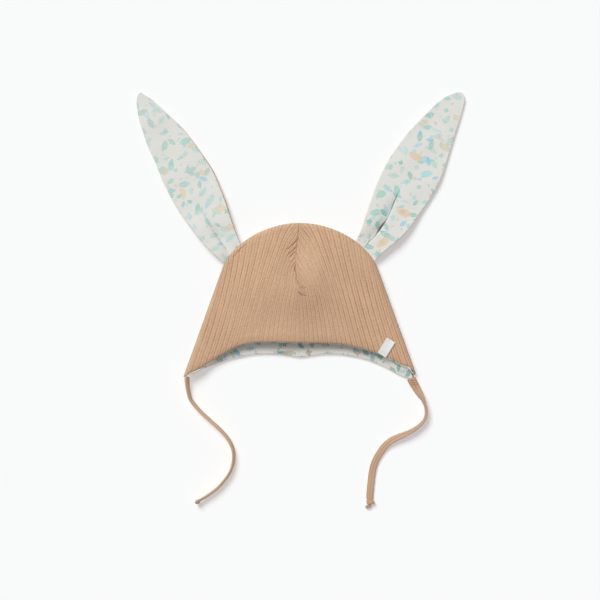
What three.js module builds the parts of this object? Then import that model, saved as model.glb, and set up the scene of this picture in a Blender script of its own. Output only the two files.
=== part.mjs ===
// A baby's pilot hat in ribbed knit with two rabbit ears, lying on its back as it is laid down.
// Millimetres. The origin is on the surface that the hat lies on, under the middle of its back.
// +X runs towards the right-hand ear flap as seen from above, +Y towards the crown, +Z up.
import * as THREE from 'three';
import { mergeVertices } from 'three/addons/utils/BufferGeometryUtils.js';

// Hat as laid flat
const flapSpan = 220; // tip to tip of the two ear flaps
const crownTop = 73; // origin to the top of the crown
const flapReach = 70.5; // origin down to the level of the flap tips
const shoulderSpan = 147; // across the hat where its straight sides end
const shoulderRise = 30.5; // origin to the shoulders
const frontHemRise = 30; // how far the front hem arches above the flap tips
const backHemRise = 20; // the same for the back hem, which covers more of the neck
const dartLength = 66.5; // crown top to the end of the dart

// Cloth
const shellWall = 1.5; // ribbed knit
const liningWall = 1; // printed jersey
const clothGap = 0.3; // between two cloths that lie on each other
const liningRoll = 0.8; // how far the lining rolls out past the front hem
const ribPitch = 4.65; // rib to rib at the brow
const ribDepth = 0.5;

// Height of the lying hat
const seamRise = 1.4; // crown seam above the back lining where that lies flat
const innerFold = 1.7; // radius of the lining's fold along the crown seam
const domeHeight = 11.5; // how far the front panel puffs up above that fold
const domeReach = 26; // how far in from the seam the puff takes to rise
const tipLift = 2.8; // how far the left flap tip curls off the surface
const tipLiftReach = 20;
const dartGroove = 0.8; // depth of the stitched line of the dart
const dartGrooveWidth = 1.8;
const backSeamGroove = 0.32; // depth of the seam down the middle of the back lining
const puckerDepth = 0.35; // extra rib depth where the dart gathers the cloth
const puckerReach = 13;
const hemRoll = 0.8; // how far the front hem turns down at its edge
const hemRollWidth = 1.6;

// Ears
const earLength = 175;
const earWidth = 49.4;
const earFaceWall = 1.1; // printed face
const earBackWall = 1.1; // knitted back
const earLift = 5.2; // how far the sides of the ear rise beside its fold
const restGap = 0.15; // ears and ties above the surface
const foldSteep = 2.6; // the fold's narrow flank, towards the lobe that lies over it
const foldGentle = 8; // its wide flank
const earBackShow = 1.1; // the knitted back peeps out this far beside the left ear's face
const earBackShare = 0.6; // and does so over this share of the ear

// Label
const labelWidth = 9.1;
const labelLength = 16.8;
const labelWall = 0.8;
const labelGap = 0.45;

// Ties
const tieWidth = 6.6;
const tieThickness = 2;
const tieTipLength = 6.5; // end folded over and stitched
const tieTipWiden = 0.8; // how much wider and thicker the fold makes it
const tieTipThicken = 1.2;
const jointGap = 0.3; // between pieces that are sewn to each other

// Mesh densities
const ribRows = 4;
const seamRowShares = [0, 0.13, 0.5, 1]; // rows near the crown seam, shares of the fold's radius
const seamColumns = [0.28, 0.08]; // columns close to the top of the crown, in ribs from it
const earRows = 15;
const earRowSpread = 1.2;
const labelRows = 6;
const labelColumns = 4;
const tieSteps = 22;
const outlineSteps = 120;
const halvings = 30; // of the search for an ear's start

// Hem lines, as shares: out of half the flap span, left and right of the hem's own rise.
const frontHem = [
  { out: 0, left: 1, right: 1 },
  { out: 0.173, left: 1.016, right: 0.984 },
  { out: 0.346, left: 1.016, right: 0.937 },
  { out: 0.432, left: 0.984, right: 0.858 },
  { out: 0.519, left: 0.905, right: 0.763 },
  { out: 0.605, left: 0.778, right: 0.668 },
  { out: 0.691, left: 0.604, right: 0.541 },
  { out: 0.778, left: 0.415, right: 0.446 },
  { out: 0.864, left: 0.193, right: 0.32 },
  { out: 0.951, left: 0.035, right: 0.193 },
  { out: 1, left: -0.06, right: 0.066 },
];
const backHem = [
  { out: 0, left: 0.836, right: 0.836 },
  { out: 0.087, left: 0.907, right: 0.907 },
  { out: 0.173, left: 0.979, right: 0.979 },
  { out: 0.259, left: 1, right: 1 },
  { out: 0.346, left: 1, right: 0.979 },
  { out: 0.432, left: 0.955, right: 0.907 },
  { out: 0.519, left: 0.86, right: 0.812 },
  { out: 0.605, left: 0.741, right: 0.67 },
  { out: 0.691, left: 0.575, right: 0.48 },
  { out: 0.778, left: 0.385, right: 0.242 },
  { out: 0.864, left: 0.219, right: -0.019 },
  { out: 0.951, left: 0, right: -0.162 },
  { out: 1, left: -0.138, right: 0.03 },
];

// Soft swellings of the front panel. Places and radii are shares of half the flap span,
// heights are shares of the dome height.
const swellings = [
  { name: 'crown', x: 0, y: 0.12, radiusX: 0.66, radiusY: 0.47, height: 0.86 },
  { name: 'dart end', x: 0.02, y: 0.06, radiusX: 0.22, radiusY: 0.2, height: 0.22 },
  { name: 'left cheek', x: -0.56, y: -0.16, radiusX: 0.24, radiusY: 0.4, height: 0.17 },
  { name: 'right flap', x: 0.62, y: -0.32, radiusX: 0.22, radiusY: 0.24, height: 0.15 },
  { name: 'brow', x: -0.16, y: -0.37, radiusX: 0.36, radiusY: 0.13, height: 0.2 },
];

// Ear outlines: along is a share of the ear's length, the four reaches are shares of half its
// width, outer being the side away from the other ear.
const earOutline = [
  { along: 0, leftOuter: 0.46, leftInner: 0.46, rightInner: 0.5, rightOuter: 0.5 },
  { along: 0.08, leftOuter: 0.635, leftInner: 0.52, rightInner: 0.56, rightOuter: 0.635 },
  { along: 0.16, leftOuter: 0.785, leftInner: 0.63, rightInner: 0.69, rightOuter: 0.84 },
  { along: 0.25, leftOuter: 0.87, leftInner: 0.765, rightInner: 0.83, rightOuter: 0.985 },
  { along: 0.34, leftOuter: 0.95, leftInner: 0.86, rightInner: 0.96, rightOuter: 1.03 },
  { along: 0.43, leftOuter: 0.97, leftInner: 0.93, rightInner: 1.03, rightOuter: 1.08 },
  { along: 0.54, leftOuter: 0.925, leftInner: 0.89, rightInner: 1.04, rightOuter: 1.045 },
  { along: 0.66, leftOuter: 0.8, leftInner: 0.8, rightInner: 0.96, rightOuter: 0.87 },
  { along: 0.74, leftOuter: 0.75, leftInner: 0.71, rightInner: 0.85, rightOuter: 0.71 },
  { along: 0.82, leftOuter: 0.63, leftInner: 0.53, rightInner: 0.71, rightOuter: 0.57 },
  { along: 0.88, leftOuter: 0.535, leftInner: 0.41, rightInner: 0.6, rightOuter: 0.465 },
  { along: 0.94, leftOuter: 0.38, leftInner: 0.26, rightInner: 0.42, rightOuter: 0.34 },
  { along: 0.98, leftOuter: 0.22, leftInner: 0.12, rightInner: 0.22, rightOuter: 0.24 },
  { along: 1, leftOuter: 0.07, leftInner: 0.05, rightInner: 0.06, rightOuter: 0.07 },
];

// Columns across an ear, closer together at the fold, as shares of its half width.
const earColumnPlaces = [-1, -0.8, -0.58, -0.36, -0.16, 0, 0.08, 0.17, 0.4, 0.7, 1];

// How the ear stands beside its fold: outer and inner are shares of the ear lift,
// fold is the share of that height which the fold goes down again.
const earRise = [
  { along: 0, outer: 0.5, inner: 0.5, fold: 0 },
  { along: 0.05, outer: 0.9, inner: 0.75, fold: 0.55 },
  { along: 0.11, outer: 1, inner: 0.85, fold: 0.9 },
  { along: 0.2, outer: 0.95, inner: 0.75, fold: 0.85 },
  { along: 0.28, outer: 0.7, inner: 0.55, fold: 0.6 },
  { along: 0.36, outer: 0.48, inner: 0.38, fold: 0.2 },
  { along: 0.45, outer: 0.32, inner: 0.25, fold: 0 },
  { along: 0.6, outer: 0.2, inner: 0.16, fold: 0 },
  { along: 0.8, outer: 0.1, inner: 0.08, fold: 0 },
  { along: 1, outer: 0, inner: 0, fold: 0 },
];

// The two ears: seat is the place of the base along the crown from shoulder to top, lean is the
// angle from +Y in degrees, foldShare scales the fold and show the edge of the ear's back.
const ears = [
  { name: 'left', side: -1, seat: 0.24, lean: 30, foldShare: 0.6, show: earBackShow },
  { name: 'right', side: 1, seat: 0.28, lean: 31.3, foldShare: 1, show: 0 },
];

// Routes of the ties on the surface, from where each leaves its flap tip: how far it has gone
// in X and Y, and the share of the way that it has sunk from the tip down to the surface.
const tieRoutes = {
  left: [
    [0, 0, 0], [0.1, -2.5, 0], [1, -11.9, 0.5], [3.4, -21.7, 0.88], [6.9, -26.6, 1],
    [14.6, -35.2, 1], [22.4, -41, 1], [30.1, -48.8, 1], [35.8, -55.1, 1], [40.8, -62.4, 1],
    [43.7, -70.1, 1], [44.2, -77.9, 1], [42.7, -85.7, 1], [39.8, -92.4, 1], [34.9, -99.2, 1],
    [29.2, -105.5, 1], [22.4, -110.9, 1], [14.6, -115.9, 1],
  ],
  right: [
    [0, 0, 0], [0.9, -2, 0], [6.4, -11.7, 0.7], [11, -19.7, 1], [13.9, -27.8, 1],
    [14.2, -34.7, 1], [12.1, -40.5, 1], [6.4, -46.3, 1], [-1.7, -51.4, 1], [-10.9, -55.5, 1],
    [-17.8, -58.9, 1], [-24.7, -64.7, 1], [-30.4, -72.7, 1], [-34.5, -80.7, 1],
    [-36.8, -90, 1], [-37.9, -99.2, 1], [-38.8, -108.4, 1], [-39.1, -115.6, 1],
  ],
};
const ties = [
  { name: 'left', side: -1, inset: 2.9, drop: 0.5, lift: 2.6, tilt: 75 },
  { name: 'right', side: 1, inset: 4.7, drop: 0.1, lift: 1.4, tilt: 0 },
];

// Shares that shape the plan of the ribs
const ribSlant = 1.3; // how fast the ribs turn from upright at the centre to the slant of the sides
const ribBend = 0.6; // where along a rib it leaves its first direction
const dartShare = 0.364; // share of the ribs that run into the dart
const dartSpread = 0.85;
const crownSpread = 1.3;
const flapStart = 0.44; // beyond this share of the ribs they meet the hem at a slant
const flapStretch = 0.128;
const shoulderHandle = 0.285; // Bezier handles of the crown, shares of half the shoulder span
const crownHandle = 0.49;
const labelPlace = 0.7; // along the hem towards the right flap, share of half the flap span
const labelLean = 31.7; // degrees
const strapCorner = 0.3; // cut corners of a strap, share of its thickness

const shellMaterial = new THREE.MeshStandardMaterial({ color: 0xc49a78, roughness: 0.95 });
const printMaterial = new THREE.MeshStandardMaterial({ color: 0xe2e0d8, roughness: 0.9 });
const labelMaterial = new THREE.MeshStandardMaterial({ color: 0xf2f2f0, roughness: 0.8 });

const halfSpan = flapSpan / 2;
const halfShoulder = shoulderSpan / 2;
const dartEnd = crownTop - dartLength;
const liningDepth = shellWall + clothGap;
const liningInside = liningDepth + liningWall;
const seamHeight = liningInside + seamRise;
const edgeRounding = liningInside + innerFold;
const radians = Math.PI / 180;
const clamp = (value, low, high) => Math.min(high, Math.max(low, value));
const mix = (a, b, share) => a + (b - a) * share;

// A smooth curve through one column of a table, read at any share of its key column.
function columnOf(table, key, column) {
  const slopeAt = (i) => {
    const before = table[Math.max(0, i - 1)];
    const after = table[Math.min(table.length - 1, i + 1)];
    return (after[column] - before[column]) / (after[key] - before[key]);
  };
  return (share) => {
    const at = clamp(share, table[0][key], table[table.length - 1][key]);
    let i = table.findIndex((row) => row[key] >= at) - 1;
    i = clamp(i, 0, table.length - 2);
    const run = table[i + 1][key] - table[i][key];
    const t = (at - table[i][key]) / run;
    const cube = t * t * t;
    const square = t * t;
    return (
      (2 * cube - 3 * square + 1) * table[i][column] +
      (cube - 2 * square + t) * run * slopeAt(i) +
      (3 * square - 2 * cube) * table[i + 1][column] +
      (cube - square) * run * slopeAt(i + 1)
    );
  };
}

// Plan of the hat: straight sides up to the shoulders, then one arc over the crown.
const sideFoot = new THREE.Vector2(halfSpan, -flapReach);
const shoulder = new THREE.Vector2(halfShoulder, shoulderRise);
const sideDirection = shoulder.clone().sub(sideFoot).normalize();
const sideSlope = -sideDirection.x / sideDirection.y;
const crownArc = new THREE.CubicBezierCurve(
  shoulder,
  shoulder.clone().addScaledVector(sideDirection, shoulderHandle * halfShoulder),
  new THREE.Vector2(crownHandle * halfShoulder, crownTop),
  new THREE.Vector2(0, crownTop),
);
const outline = [sideFoot.clone().addScaledVector(sideDirection, -halfShoulder)];
for (let i = 0; i <= outlineSteps; i++) outline.push(crownArc.getPoint(i / outlineSteps));

// Distance in from the outline, the same on both sides of the hat; negative outside it.
function distanceIn(x, y) {
  const px = Math.abs(x);
  let nearest = Infinity;
  let sign = 1;
  for (let i = 0; i < outline.length - 1; i++) {
    const a = outline[i];
    const b = outline[i + 1];
    const dx = b.x - a.x;
    const dy = b.y - a.y;
    const t = clamp(((px - a.x) * dx + (y - a.y) * dy) / (dx * dx + dy * dy), 0, 1);
    const gap = Math.hypot(px - a.x - t * dx, y - a.y - t * dy);
    if (gap < nearest) {
      nearest = gap;
      sign = dx * (y - a.y) - dy * (px - a.x) >= 0 ? 1 : -1;
    }
  }
  return sign * nearest;
}

// A point of the crown's arc, moved in by an inset.
function crownPoint(t, inset) {
  const along = crownArc.getTangent(t);
  const point = crownArc.getPoint(t);
  return new THREE.Vector2(point.x - along.y * inset, point.y + along.x * inset);
}

// The height of a hem over the plan, on either side of the hat.
function hemLine(table, rise) {
  const left = columnOf(table, 'out', 'left');
  const right = columnOf(table, 'out', 'right');
  return (x) => rise * (x < 0 ? left : right)(Math.abs(x) / halfSpan) - flapReach;
}
const frontHemLine = hemLine(frontHem, frontHemRise);
const backHemLine = hemLine(backHem, backHemRise);

// Where rib u, from 0 at the centre to 1 at the side, meets the hem and where it ends.
function ribFoot(u, side, hem, inset) {
  const slanted = Math.max(0, (u - flapStart) / (1 - flapStart));
  const reach = (1 - flapStretch) * u + flapStretch * slanted * slanted;
  const x = side * reach * (halfSpan - inset / sideDirection.y);
  return new THREE.Vector2(x, hem(x));
}
function ribHead(u, side, inset) {
  if (u <= dartShare) {
    const rise = (u / dartShare) ** dartSpread;
    return new THREE.Vector2(0, mix(dartEnd, crownTop - inset, rise));
  }
  const share = (u - dartShare) / (1 - dartShare);
  const point = crownPoint(1 - share ** crownSpread, inset);
  return new THREE.Vector2(side * point.x, point.y);
}
function ribPoint(foot, head, u, v, side) {
  const slant = sideSlope * Math.sin((Math.PI / 2) * u) ** ribSlant;
  const rise = head.y - foot.y;
  const turn = u === 1 ? mix(foot.x, head.x, ribBend) : foot.x - side * slant * ribBend * rise;
  const bend = new THREE.Vector2(turn, foot.y + ribBend * rise);
  return new THREE.QuadraticBezierCurve(foot, bend, head).getPoint(v);
}

// The quarter circle of the fold along the seam, from 0 at the edge to 1.
const foldProfile = (share) => Math.sqrt(1 - (1 - clamp(share, 0, 1)) ** 2);

function tipLiftAt(x, y) {
  const dx = (x + halfSpan) / tipLiftReach;
  const dy = (y + flapReach) / tipLiftReach;
  return tipLift * Math.exp(-dx * dx - dy * dy);
}
function swellingAt(x, y) {
  const total = swellings.reduce((sum, s) => {
    const dx = (x / halfSpan - s.x) / s.radiusX;
    const dy = (y / halfSpan - s.y) / s.radiusY;
    return sum + s.height * Math.exp(-dx * dx - dy * dy);
  }, 0);
  return domeHeight * total;
}

// Heights of a layer that lies depth under the cloth's outer face, inside the outline.
function frontHeight(x, y, depth, within = distanceIn(x, y)) {
  const radius = edgeRounding - depth;
  const fold = radius * foldProfile((within - depth) / radius);
  const puff = swellingAt(x, y) * (1 - Math.exp(-Math.max(0, within - depth) / domeReach));
  const intoHem = Math.max(0, 1 - (y - frontHemLine(x)) / hemRollWidth);
  const turned = hemRoll * intoHem * clamp((within - depth) / edgeRounding, 0, 1);
  return seamHeight + fold + puff - turned + tipLiftAt(x, y);
}
function backHeight(x, y, depth, within = distanceIn(x, y)) {
  const radius = edgeRounding - depth;
  const fold = (seamHeight - depth) * foldProfile((within - depth) / radius);
  return seamHeight - jointGap - fold * (1 - jointGap / seamHeight) + tipLiftAt(x, y);
}

// A closed sheet from two grids of points with the same rows and columns, top over bottom.
// top and bottom are functions of row and column that give [x, y, z]. Quads are split the other
// way round in the right half, so the two halves mirror each other.
function closedSheet(rows, columns, top, bottom) {
  const points = [];
  const faces = [];
  const at = (layer, row, column) => (layer * (rows + 1) + row) * (columns + 1) + column;
  [top, bottom].forEach((surface) => {
    for (let row = 0; row <= rows; row++) {
      for (let column = 0; column <= columns; column++) points.push(...surface(row, column));
    }
  });
  const quad = (mirrored, a, b, c, d) => {
    if (mirrored) faces.push(a, b, d, b, c, d);
    else faces.push(a, b, c, a, c, d);
  };
  for (let column = 0; column < columns; column++) {
    const c = column + 1;
    const right = 2 * column >= columns;
    for (let row = 0; row < rows; row++) {
      const r = row + 1;
      quad(right, at(0, row, column), at(0, row, c), at(0, r, c), at(0, r, column));
      quad(right, at(1, row, column), at(1, r, column), at(1, r, c), at(1, row, c));
    }
    quad(right, at(1, 0, column), at(1, 0, c), at(0, 0, c), at(0, 0, column));
    quad(right, at(0, rows, column), at(0, rows, c), at(1, rows, c), at(1, rows, column));
  }
  for (let row = 0; row < rows; row++) {
    const r = row + 1;
    quad(false, at(0, row, 0), at(0, r, 0), at(1, r, 0), at(1, row, 0));
    quad(true, at(1, row, columns), at(1, r, columns), at(0, r, columns), at(0, row, columns));
  }
  return geometryOf(points, faces);
}

// Merges equal corners, and drops the faces that this leaves without area, such as the rim
// between the two halves of a panel where they meet along the dart.
function geometryOf(points, faces) {
  const loose = new THREE.BufferGeometry();
  loose.setAttribute('position', new THREE.Float32BufferAttribute(points, 3));
  loose.setIndex(faces);
  const merged = mergeVertices(loose, 1e-3);
  const corners = merged.index.array;
  const kept = [];
  const seen = new Map();
  for (let i = 0; i < corners.length; i += 3) {
    const [a, b, c] = [corners[i], corners[i + 1], corners[i + 2]];
    if (a === b || b === c || c === a) continue;
    const key = [a, b, c].sort((p, q) => p - q).join();
    if (seen.has(key)) {
      kept[seen.get(key)] = null;
      seen.delete(key);
    } else {
      seen.set(key, kept.length);
      kept.push([a, b, c]);
    }
  }
  merged.setIndex(kept.filter(Boolean).flat());
  merged.computeVertexNormals();
  return merged;
}

// Rows of a panel, given as a place along each rib: close together at the hem and at the seam.
const seamRows = seamRowShares.map((share) => share * edgeRounding);
function rowShares(length, hemDrop) {
  const first = (hemRollWidth + hemDrop) / length;
  const last = 1 - seamRows[seamRows.length - 1] / length;
  const inner = Array.from({ length: ribRows }, (_, i) => mix(first, last, (i + 1) / ribRows));
  const top = seamRows.slice(0, -1).reverse();
  return [0, first, ...inner, ...top.map((run) => 1 - run / length)];
}
const panelRows = ribRows + seamRows.length;

// One face of a panel: places[i] is the signed rib of column i, from -1 at the left side to 1.
function panelFace(places, hem, depth, heightAt, hemDrop, relief) {
  return (row, column) => {
    const side = Math.sign(places[column]) || 1;
    const u = Math.abs(places[column]);
    const foot = ribFoot(u, side, hem, depth);
    foot.y -= hemDrop;
    const head = ribHead(u, side, depth);
    const share = rowShares(foot.distanceTo(head), hemDrop)[row];
    const point = ribPoint(foot, head, u, share, side);
    const onEdge = u === 1 || (row === panelRows && u >= dartShare);
    const within = onEdge ? depth : Math.max(depth, distanceIn(point.x, point.y));
    const height = heightAt(point.x, point.y, depth, within);
    return [point.x, point.y, height - relief(point, places[column], within)];
  };
}
const plain = () => 0;

// Grooves between the ribs, deeper where the dart gathers them, and the dart's stitched line.
const ribsPerSide = Math.round(((1 - flapStretch) * halfSpan) / ribPitch);
const ribsInDart = Math.max(1, Math.round(ribsPerSide * dartShare));
const ribsBeyond = ribsPerSide - ribsInDart;
function ribOfPlace(u) {
  if (u <= dartShare) return (u / dartShare) * ribsInDart;
  return ribsInDart + ((u - dartShare) / (1 - dartShare)) * ribsBeyond;
}
function placeOfRib(rib) {
  if (rib <= ribsInDart) return (dartShare * rib) / ribsInDart;
  return mix(dartShare, 1, (rib - ribsInDart) / ribsBeyond);
}
function knitRelief(point, place, within) {
  const fade = clamp((within - seamRows[1]) / edgeRounding, 0, 1);
  const rib = ribOfPlace(Math.abs(place));
  const groove = Math.abs(Math.round(rib) - rib) < 0.25;
  const aboveDart = clamp((point.y - dartEnd) / puckerReach, 0, 1);
  const gathered = puckerDepth * aboveDart * Math.exp(-((point.x / puckerReach) ** 2));
  const stitched = dartGroove * aboveDart * Math.exp(-((point.x / dartGrooveWidth) ** 2));
  return fade * Math.max(stitched, groove ? ribDepth + gathered : 0);
}
const backSeam = (point) => backSeamGroove * Math.exp(-((point.x / dartGrooveWidth) ** 2));

// Columns across a panel, the same left and right, with one at the end of the dart's ribs.
function columnPlaces(perRib) {
  const half = Array.from({ length: perRib * ribsPerSide }, (_, i) => placeOfRib((i + 1) / perRib));
  half.splice(perRib * ribsInDart - 1, 0, ...seamColumns.map((rib) => placeOfRib(ribsInDart - rib)));
  return [...half.map((u) => -u).reverse(), 0, ...half];
}

// A whole panel or lining, between an outer and an inner depth of cloth.
function panel(places, hem, heightAt, depths, hemDrop, reliefs) {
  const faces = depths.map((depth, i) => panelFace(places, hem, depth, heightAt, hemDrop, reliefs[i]));
  return closedSheet(panelRows, places.length - 1, faces[0], faces[1]);
}

const ribPlaces = columnPlaces(2);
const liningPlaces = columnPlaces(1);

const frontPanel = panel(ribPlaces, frontHemLine, frontHeight, [0, shellWall], 0, [knitRelief, plain]);
const frontLining = panel(
  liningPlaces, frontHemLine, frontHeight, [liningDepth, liningInside], liningRoll, [plain, plain],
);
const backPanel = panel(liningPlaces, backHemLine, backHeight, [shellWall, 0], 0, [plain, plain]);
const backLining = panel(
  liningPlaces, backHemLine, backHeight, [liningInside, liningDepth], 0, [backSeam, plain],
);

// One ear: its own axes, its outline, and its height above the surface.
function earFrame(ear) {
  const seat = crownPoint(ear.seat, 0);
  const lean = ear.lean * radians;
  const along = new THREE.Vector2(ear.side * Math.sin(lean), Math.cos(lean));
  const outward = new THREE.Vector2(ear.side * Math.cos(lean), -Math.sin(lean));
  return { base: new THREE.Vector2(ear.side * seat.x, seat.y), along, outward };
}
function earPoint(frame, s, w) {
  return frame.base.clone().addScaledVector(frame.along, s).addScaledVector(frame.outward, w);
}

// How far along the ear, at w across it, its cloth starts: just outside the crown seam.
function earStart(frame, w) {
  let inside = -earWidth;
  let outside = earWidth;
  for (let i = 0; i < halvings; i++) {
    const middle = (inside + outside) / 2;
    const point = earPoint(frame, middle, w);
    if (distanceIn(point.x, point.y) > -jointGap) inside = middle;
    else outside = middle;
  }
  return outside;
}

function earSheets(ear) {
  const frame = earFrame(ear);
  const outer = columnOf(earOutline, 'along', `${ear.name}Outer`);
  const inner = columnOf(earOutline, 'along', `${ear.name}Inner`);
  const outerRise = columnOf(earRise, 'along', 'outer');
  const innerRise = columnOf(earRise, 'along', 'inner');
  const fold = columnOf(earRise, 'along', 'fold');
  const stack = earFaceWall + clothGap + earBackWall;
  const halfWidth = earWidth / 2;

  const topHeight = (share, across, w) => {
    const rise = earLift * mix(innerRise(share), outerRise(share), (across + 1) / 2);
    const flank = w > 0 ? foldSteep : foldGentle;
    const away = w / flank;
    const bell = Math.exp(-away * away);
    const depth = rise * ear.foldShare * fold(share);
    const slope = (2 * Math.abs(away) * bell * depth) / flank;
    return { top: restGap + stack + rise - depth * bell, steep: Math.hypot(1, slope) };
  };
  const surface = (wallsAbove, show) => (row, column) => {
    const share = Math.sin((Math.PI / 2) * (row / earRows)) ** earRowSpread;
    const across = earColumnPlaces[column];
    const reach = across < 0 ? inner(share) : outer(share);
    const peep = across < 0 ? show * Math.sin(Math.PI * Math.min(1, share / earBackShare)) : 0;
    const w = across * (reach * halfWidth + peep);
    const start = earStart(frame, w);
    const point = earPoint(frame, mix(start, earLength, share), w);
    const { top, steep } = topHeight(share, across, w);
    return [point.x, point.y, Math.max(restGap, top - wallsAbove * steep)];
  };
  const layers = [
    surface(0, 0),
    surface(earFaceWall, 0),
    surface(earFaceWall + clothGap, ear.show),
    surface(stack, ear.show),
  ];
  const earColumns = earColumnPlaces.length - 1;
  const turned = (layer) => (row, column) => layer(row, ear.side > 0 ? column : earColumns - column);
  return {
    face: closedSheet(earRows, earColumns, turned(layers[0]), turned(layers[1])),
    back: closedSheet(earRows, earColumns, turned(layers[2]), turned(layers[3])),
  };
}

// The label lies on the front panel and starts at its hem.
function labelSheet() {
  const footX = labelPlace * halfSpan;
  const foot = new THREE.Vector2(footX, frontHemLine(footX));
  const lean = labelLean * radians;
  const surface = (above) => (row, column) => {
    const s = (row / labelRows) * labelLength;
    const w = (column / labelColumns - 0.5) * labelWidth;
    const x = foot.x + s * Math.sin(lean) + w * Math.cos(lean);
    const y = foot.y + s * Math.cos(lean) - w * Math.sin(lean);
    const onPanel = frontHeight(x, Math.max(y, frontHemLine(x) + hemRollWidth), 0);
    return [x, y, onPanel + labelGap + above];
  };
  return closedSheet(labelRows, labelColumns, surface(labelWall), surface(0));
}

// A flat strap's section, with its corners cut, turned by tilt from lying flat.
function strapSection(width, thickness, tilt) {
  const cut = strapCorner * thickness;
  const [a, b] = [thickness / 2, width / 2];
  const corners = [
    [a, b - cut], [a - cut, b], [cut - a, b], [-a, b - cut],
    [-a, cut - b], [cut - a, -b], [a - cut, -b], [a, cut - b],
  ].map(([x, y]) => new THREE.Vector2(x, y).rotateAround(new THREE.Vector2(), tilt * radians));
  return new THREE.Shape(corners);
}
function strap(section, points, steps) {
  const extrudePath = new THREE.CatmullRomCurve3(points, false, 'centripetal');
  return new THREE.ExtrudeGeometry(section, { steps, bevelEnabled: false, extrudePath });
}
// Half the height of a strap's section as it lies.
function halfHeight(width, thickness, tilt) {
  return (width * Math.sin(tilt * radians) + thickness * Math.cos(tilt * radians)) / 2;
}
function tieParts(tie) {
  const x = tie.side * (halfSpan - tie.inset);
  const hemLevel = Math.min(frontHemLine(x) - liningRoll, backHemLine(x));
  const y = hemLevel - jointGap - tie.drop;
  const rest = restGap + halfHeight(tieWidth, tieThickness, tie.tilt);
  const route = tieRoutes[tie.name].map(
    ([runX, runY, sunk]) => new THREE.Vector3(x + runX, y + runY, rest + tie.lift * (1 - sunk)),
  );
  const end = route[route.length - 1];
  const onward = end.clone().sub(route[route.length - 2]).normalize();
  const tipWidth = tieWidth + tieTipWiden;
  const tipThickness = tieThickness + tieTipThicken;
  const tipRest = restGap + halfHeight(tipWidth, tipThickness, tie.tilt);
  const tipRoute = [jointGap, jointGap + tieTipLength].map((run) =>
    end.clone().addScaledVector(onward, run).setZ(tipRest),
  );
  return {
    strap: strap(strapSection(tieWidth, tieThickness, tie.tilt), route, tieSteps),
    tip: strap(strapSection(tipWidth, tipThickness, tie.tilt), tipRoute, 1),
  };
}

const hat = new THREE.Group();
function add(name, geometry, material) {
  const mesh = new THREE.Mesh(geometry, material);
  mesh.name = name;
  hat.add(mesh);
}
add('front_panel', frontPanel, shellMaterial);
add('front_lining', frontLining, printMaterial);
add('back_panel', backPanel, shellMaterial);
add('back_lining', backLining, printMaterial);
ears.forEach((ear) => {
  const { face, back } = earSheets(ear);
  add(`${ear.name}_ear_face`, face, printMaterial);
  add(`${ear.name}_ear_back`, back, shellMaterial);
});
add('label', labelSheet(), labelMaterial);
ties.forEach((tie) => {
  const parts = tieParts(tie);
  add(`${tie.name}_tie`, parts.strap, shellMaterial);
  add(`${tie.name}_tie_tip`, parts.tip, shellMaterial);
});

export default hat;
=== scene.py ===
"""A baby's pilot hat in ribbed knit with two rabbit ears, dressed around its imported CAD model.

The hat lies on its back and is seen from straight above. Plans and heights are worked out in
millimetres, as in the CAD source, and each finished mesh is scaled to metres.
"""
import logging
import math
from dataclasses import dataclass
from enum import Enum
from functools import partial
from typing import Callable

import bmesh
import bpy
import numpy as np
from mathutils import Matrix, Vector


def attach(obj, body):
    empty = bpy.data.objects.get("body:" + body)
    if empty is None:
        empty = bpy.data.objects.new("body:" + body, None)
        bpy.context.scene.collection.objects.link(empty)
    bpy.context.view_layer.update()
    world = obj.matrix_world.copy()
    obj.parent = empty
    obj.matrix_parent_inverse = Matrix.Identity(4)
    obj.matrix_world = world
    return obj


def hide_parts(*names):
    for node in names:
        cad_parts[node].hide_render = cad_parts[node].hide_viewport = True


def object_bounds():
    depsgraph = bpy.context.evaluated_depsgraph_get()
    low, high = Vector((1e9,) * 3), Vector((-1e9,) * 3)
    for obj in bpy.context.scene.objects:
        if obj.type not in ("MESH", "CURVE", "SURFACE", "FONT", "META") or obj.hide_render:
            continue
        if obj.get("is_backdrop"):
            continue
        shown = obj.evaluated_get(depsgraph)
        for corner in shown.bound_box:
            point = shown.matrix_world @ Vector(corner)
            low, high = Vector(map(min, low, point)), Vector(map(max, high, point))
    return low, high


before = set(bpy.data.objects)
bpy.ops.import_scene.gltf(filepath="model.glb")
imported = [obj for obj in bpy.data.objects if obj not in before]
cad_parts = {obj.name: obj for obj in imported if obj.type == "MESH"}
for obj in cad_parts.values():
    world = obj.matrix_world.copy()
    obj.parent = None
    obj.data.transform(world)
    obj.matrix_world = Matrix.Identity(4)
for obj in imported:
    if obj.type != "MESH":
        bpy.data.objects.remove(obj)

MM = 0.001
BODY = "root"
CLOTH_MAP = "cloth"
# Vertex attribute with painted shade: in the right ear's slit and on the linings under the front's hem.
PAINTED_SHADE_MAP = "painted_shade"
MERGE_GAP = 1e-3
SMALLEST = 1e-9
FULL_TURN = 2 * math.pi
LOG = logging.getLogger("hat")

Array = np.ndarray
Number = float | Array
Colour = tuple[float, float, float]
HeightAt = Callable[[Array, Array], Array]
Socket = bpy.types.NodeSocket


def ease(share: Number) -> Number:
    """The quarter circle of a fold or a rolled edge, from 0 at the edge to 1."""
    return np.sqrt(np.maximum(0, 1 - (1 - np.clip(share, 0, 1)) ** 2))


def soft_step(low: float, high: float, value: Number) -> Number:
    """A soft step from 0 at low to 1 at high."""
    share = np.clip((value - low) / (high - low), 0, 1)
    return share * share * (3 - 2 * share)


def mix(low: Number, high: Number, share: Number) -> Number:
    """The value a share of the way from low to high."""
    return low + (high - low) * share


def bell(distance: Number, width: float) -> Number:
    """A soft bump that is 1 at no distance and fades over its width."""
    return np.exp(-((distance / width) ** 2))


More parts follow.
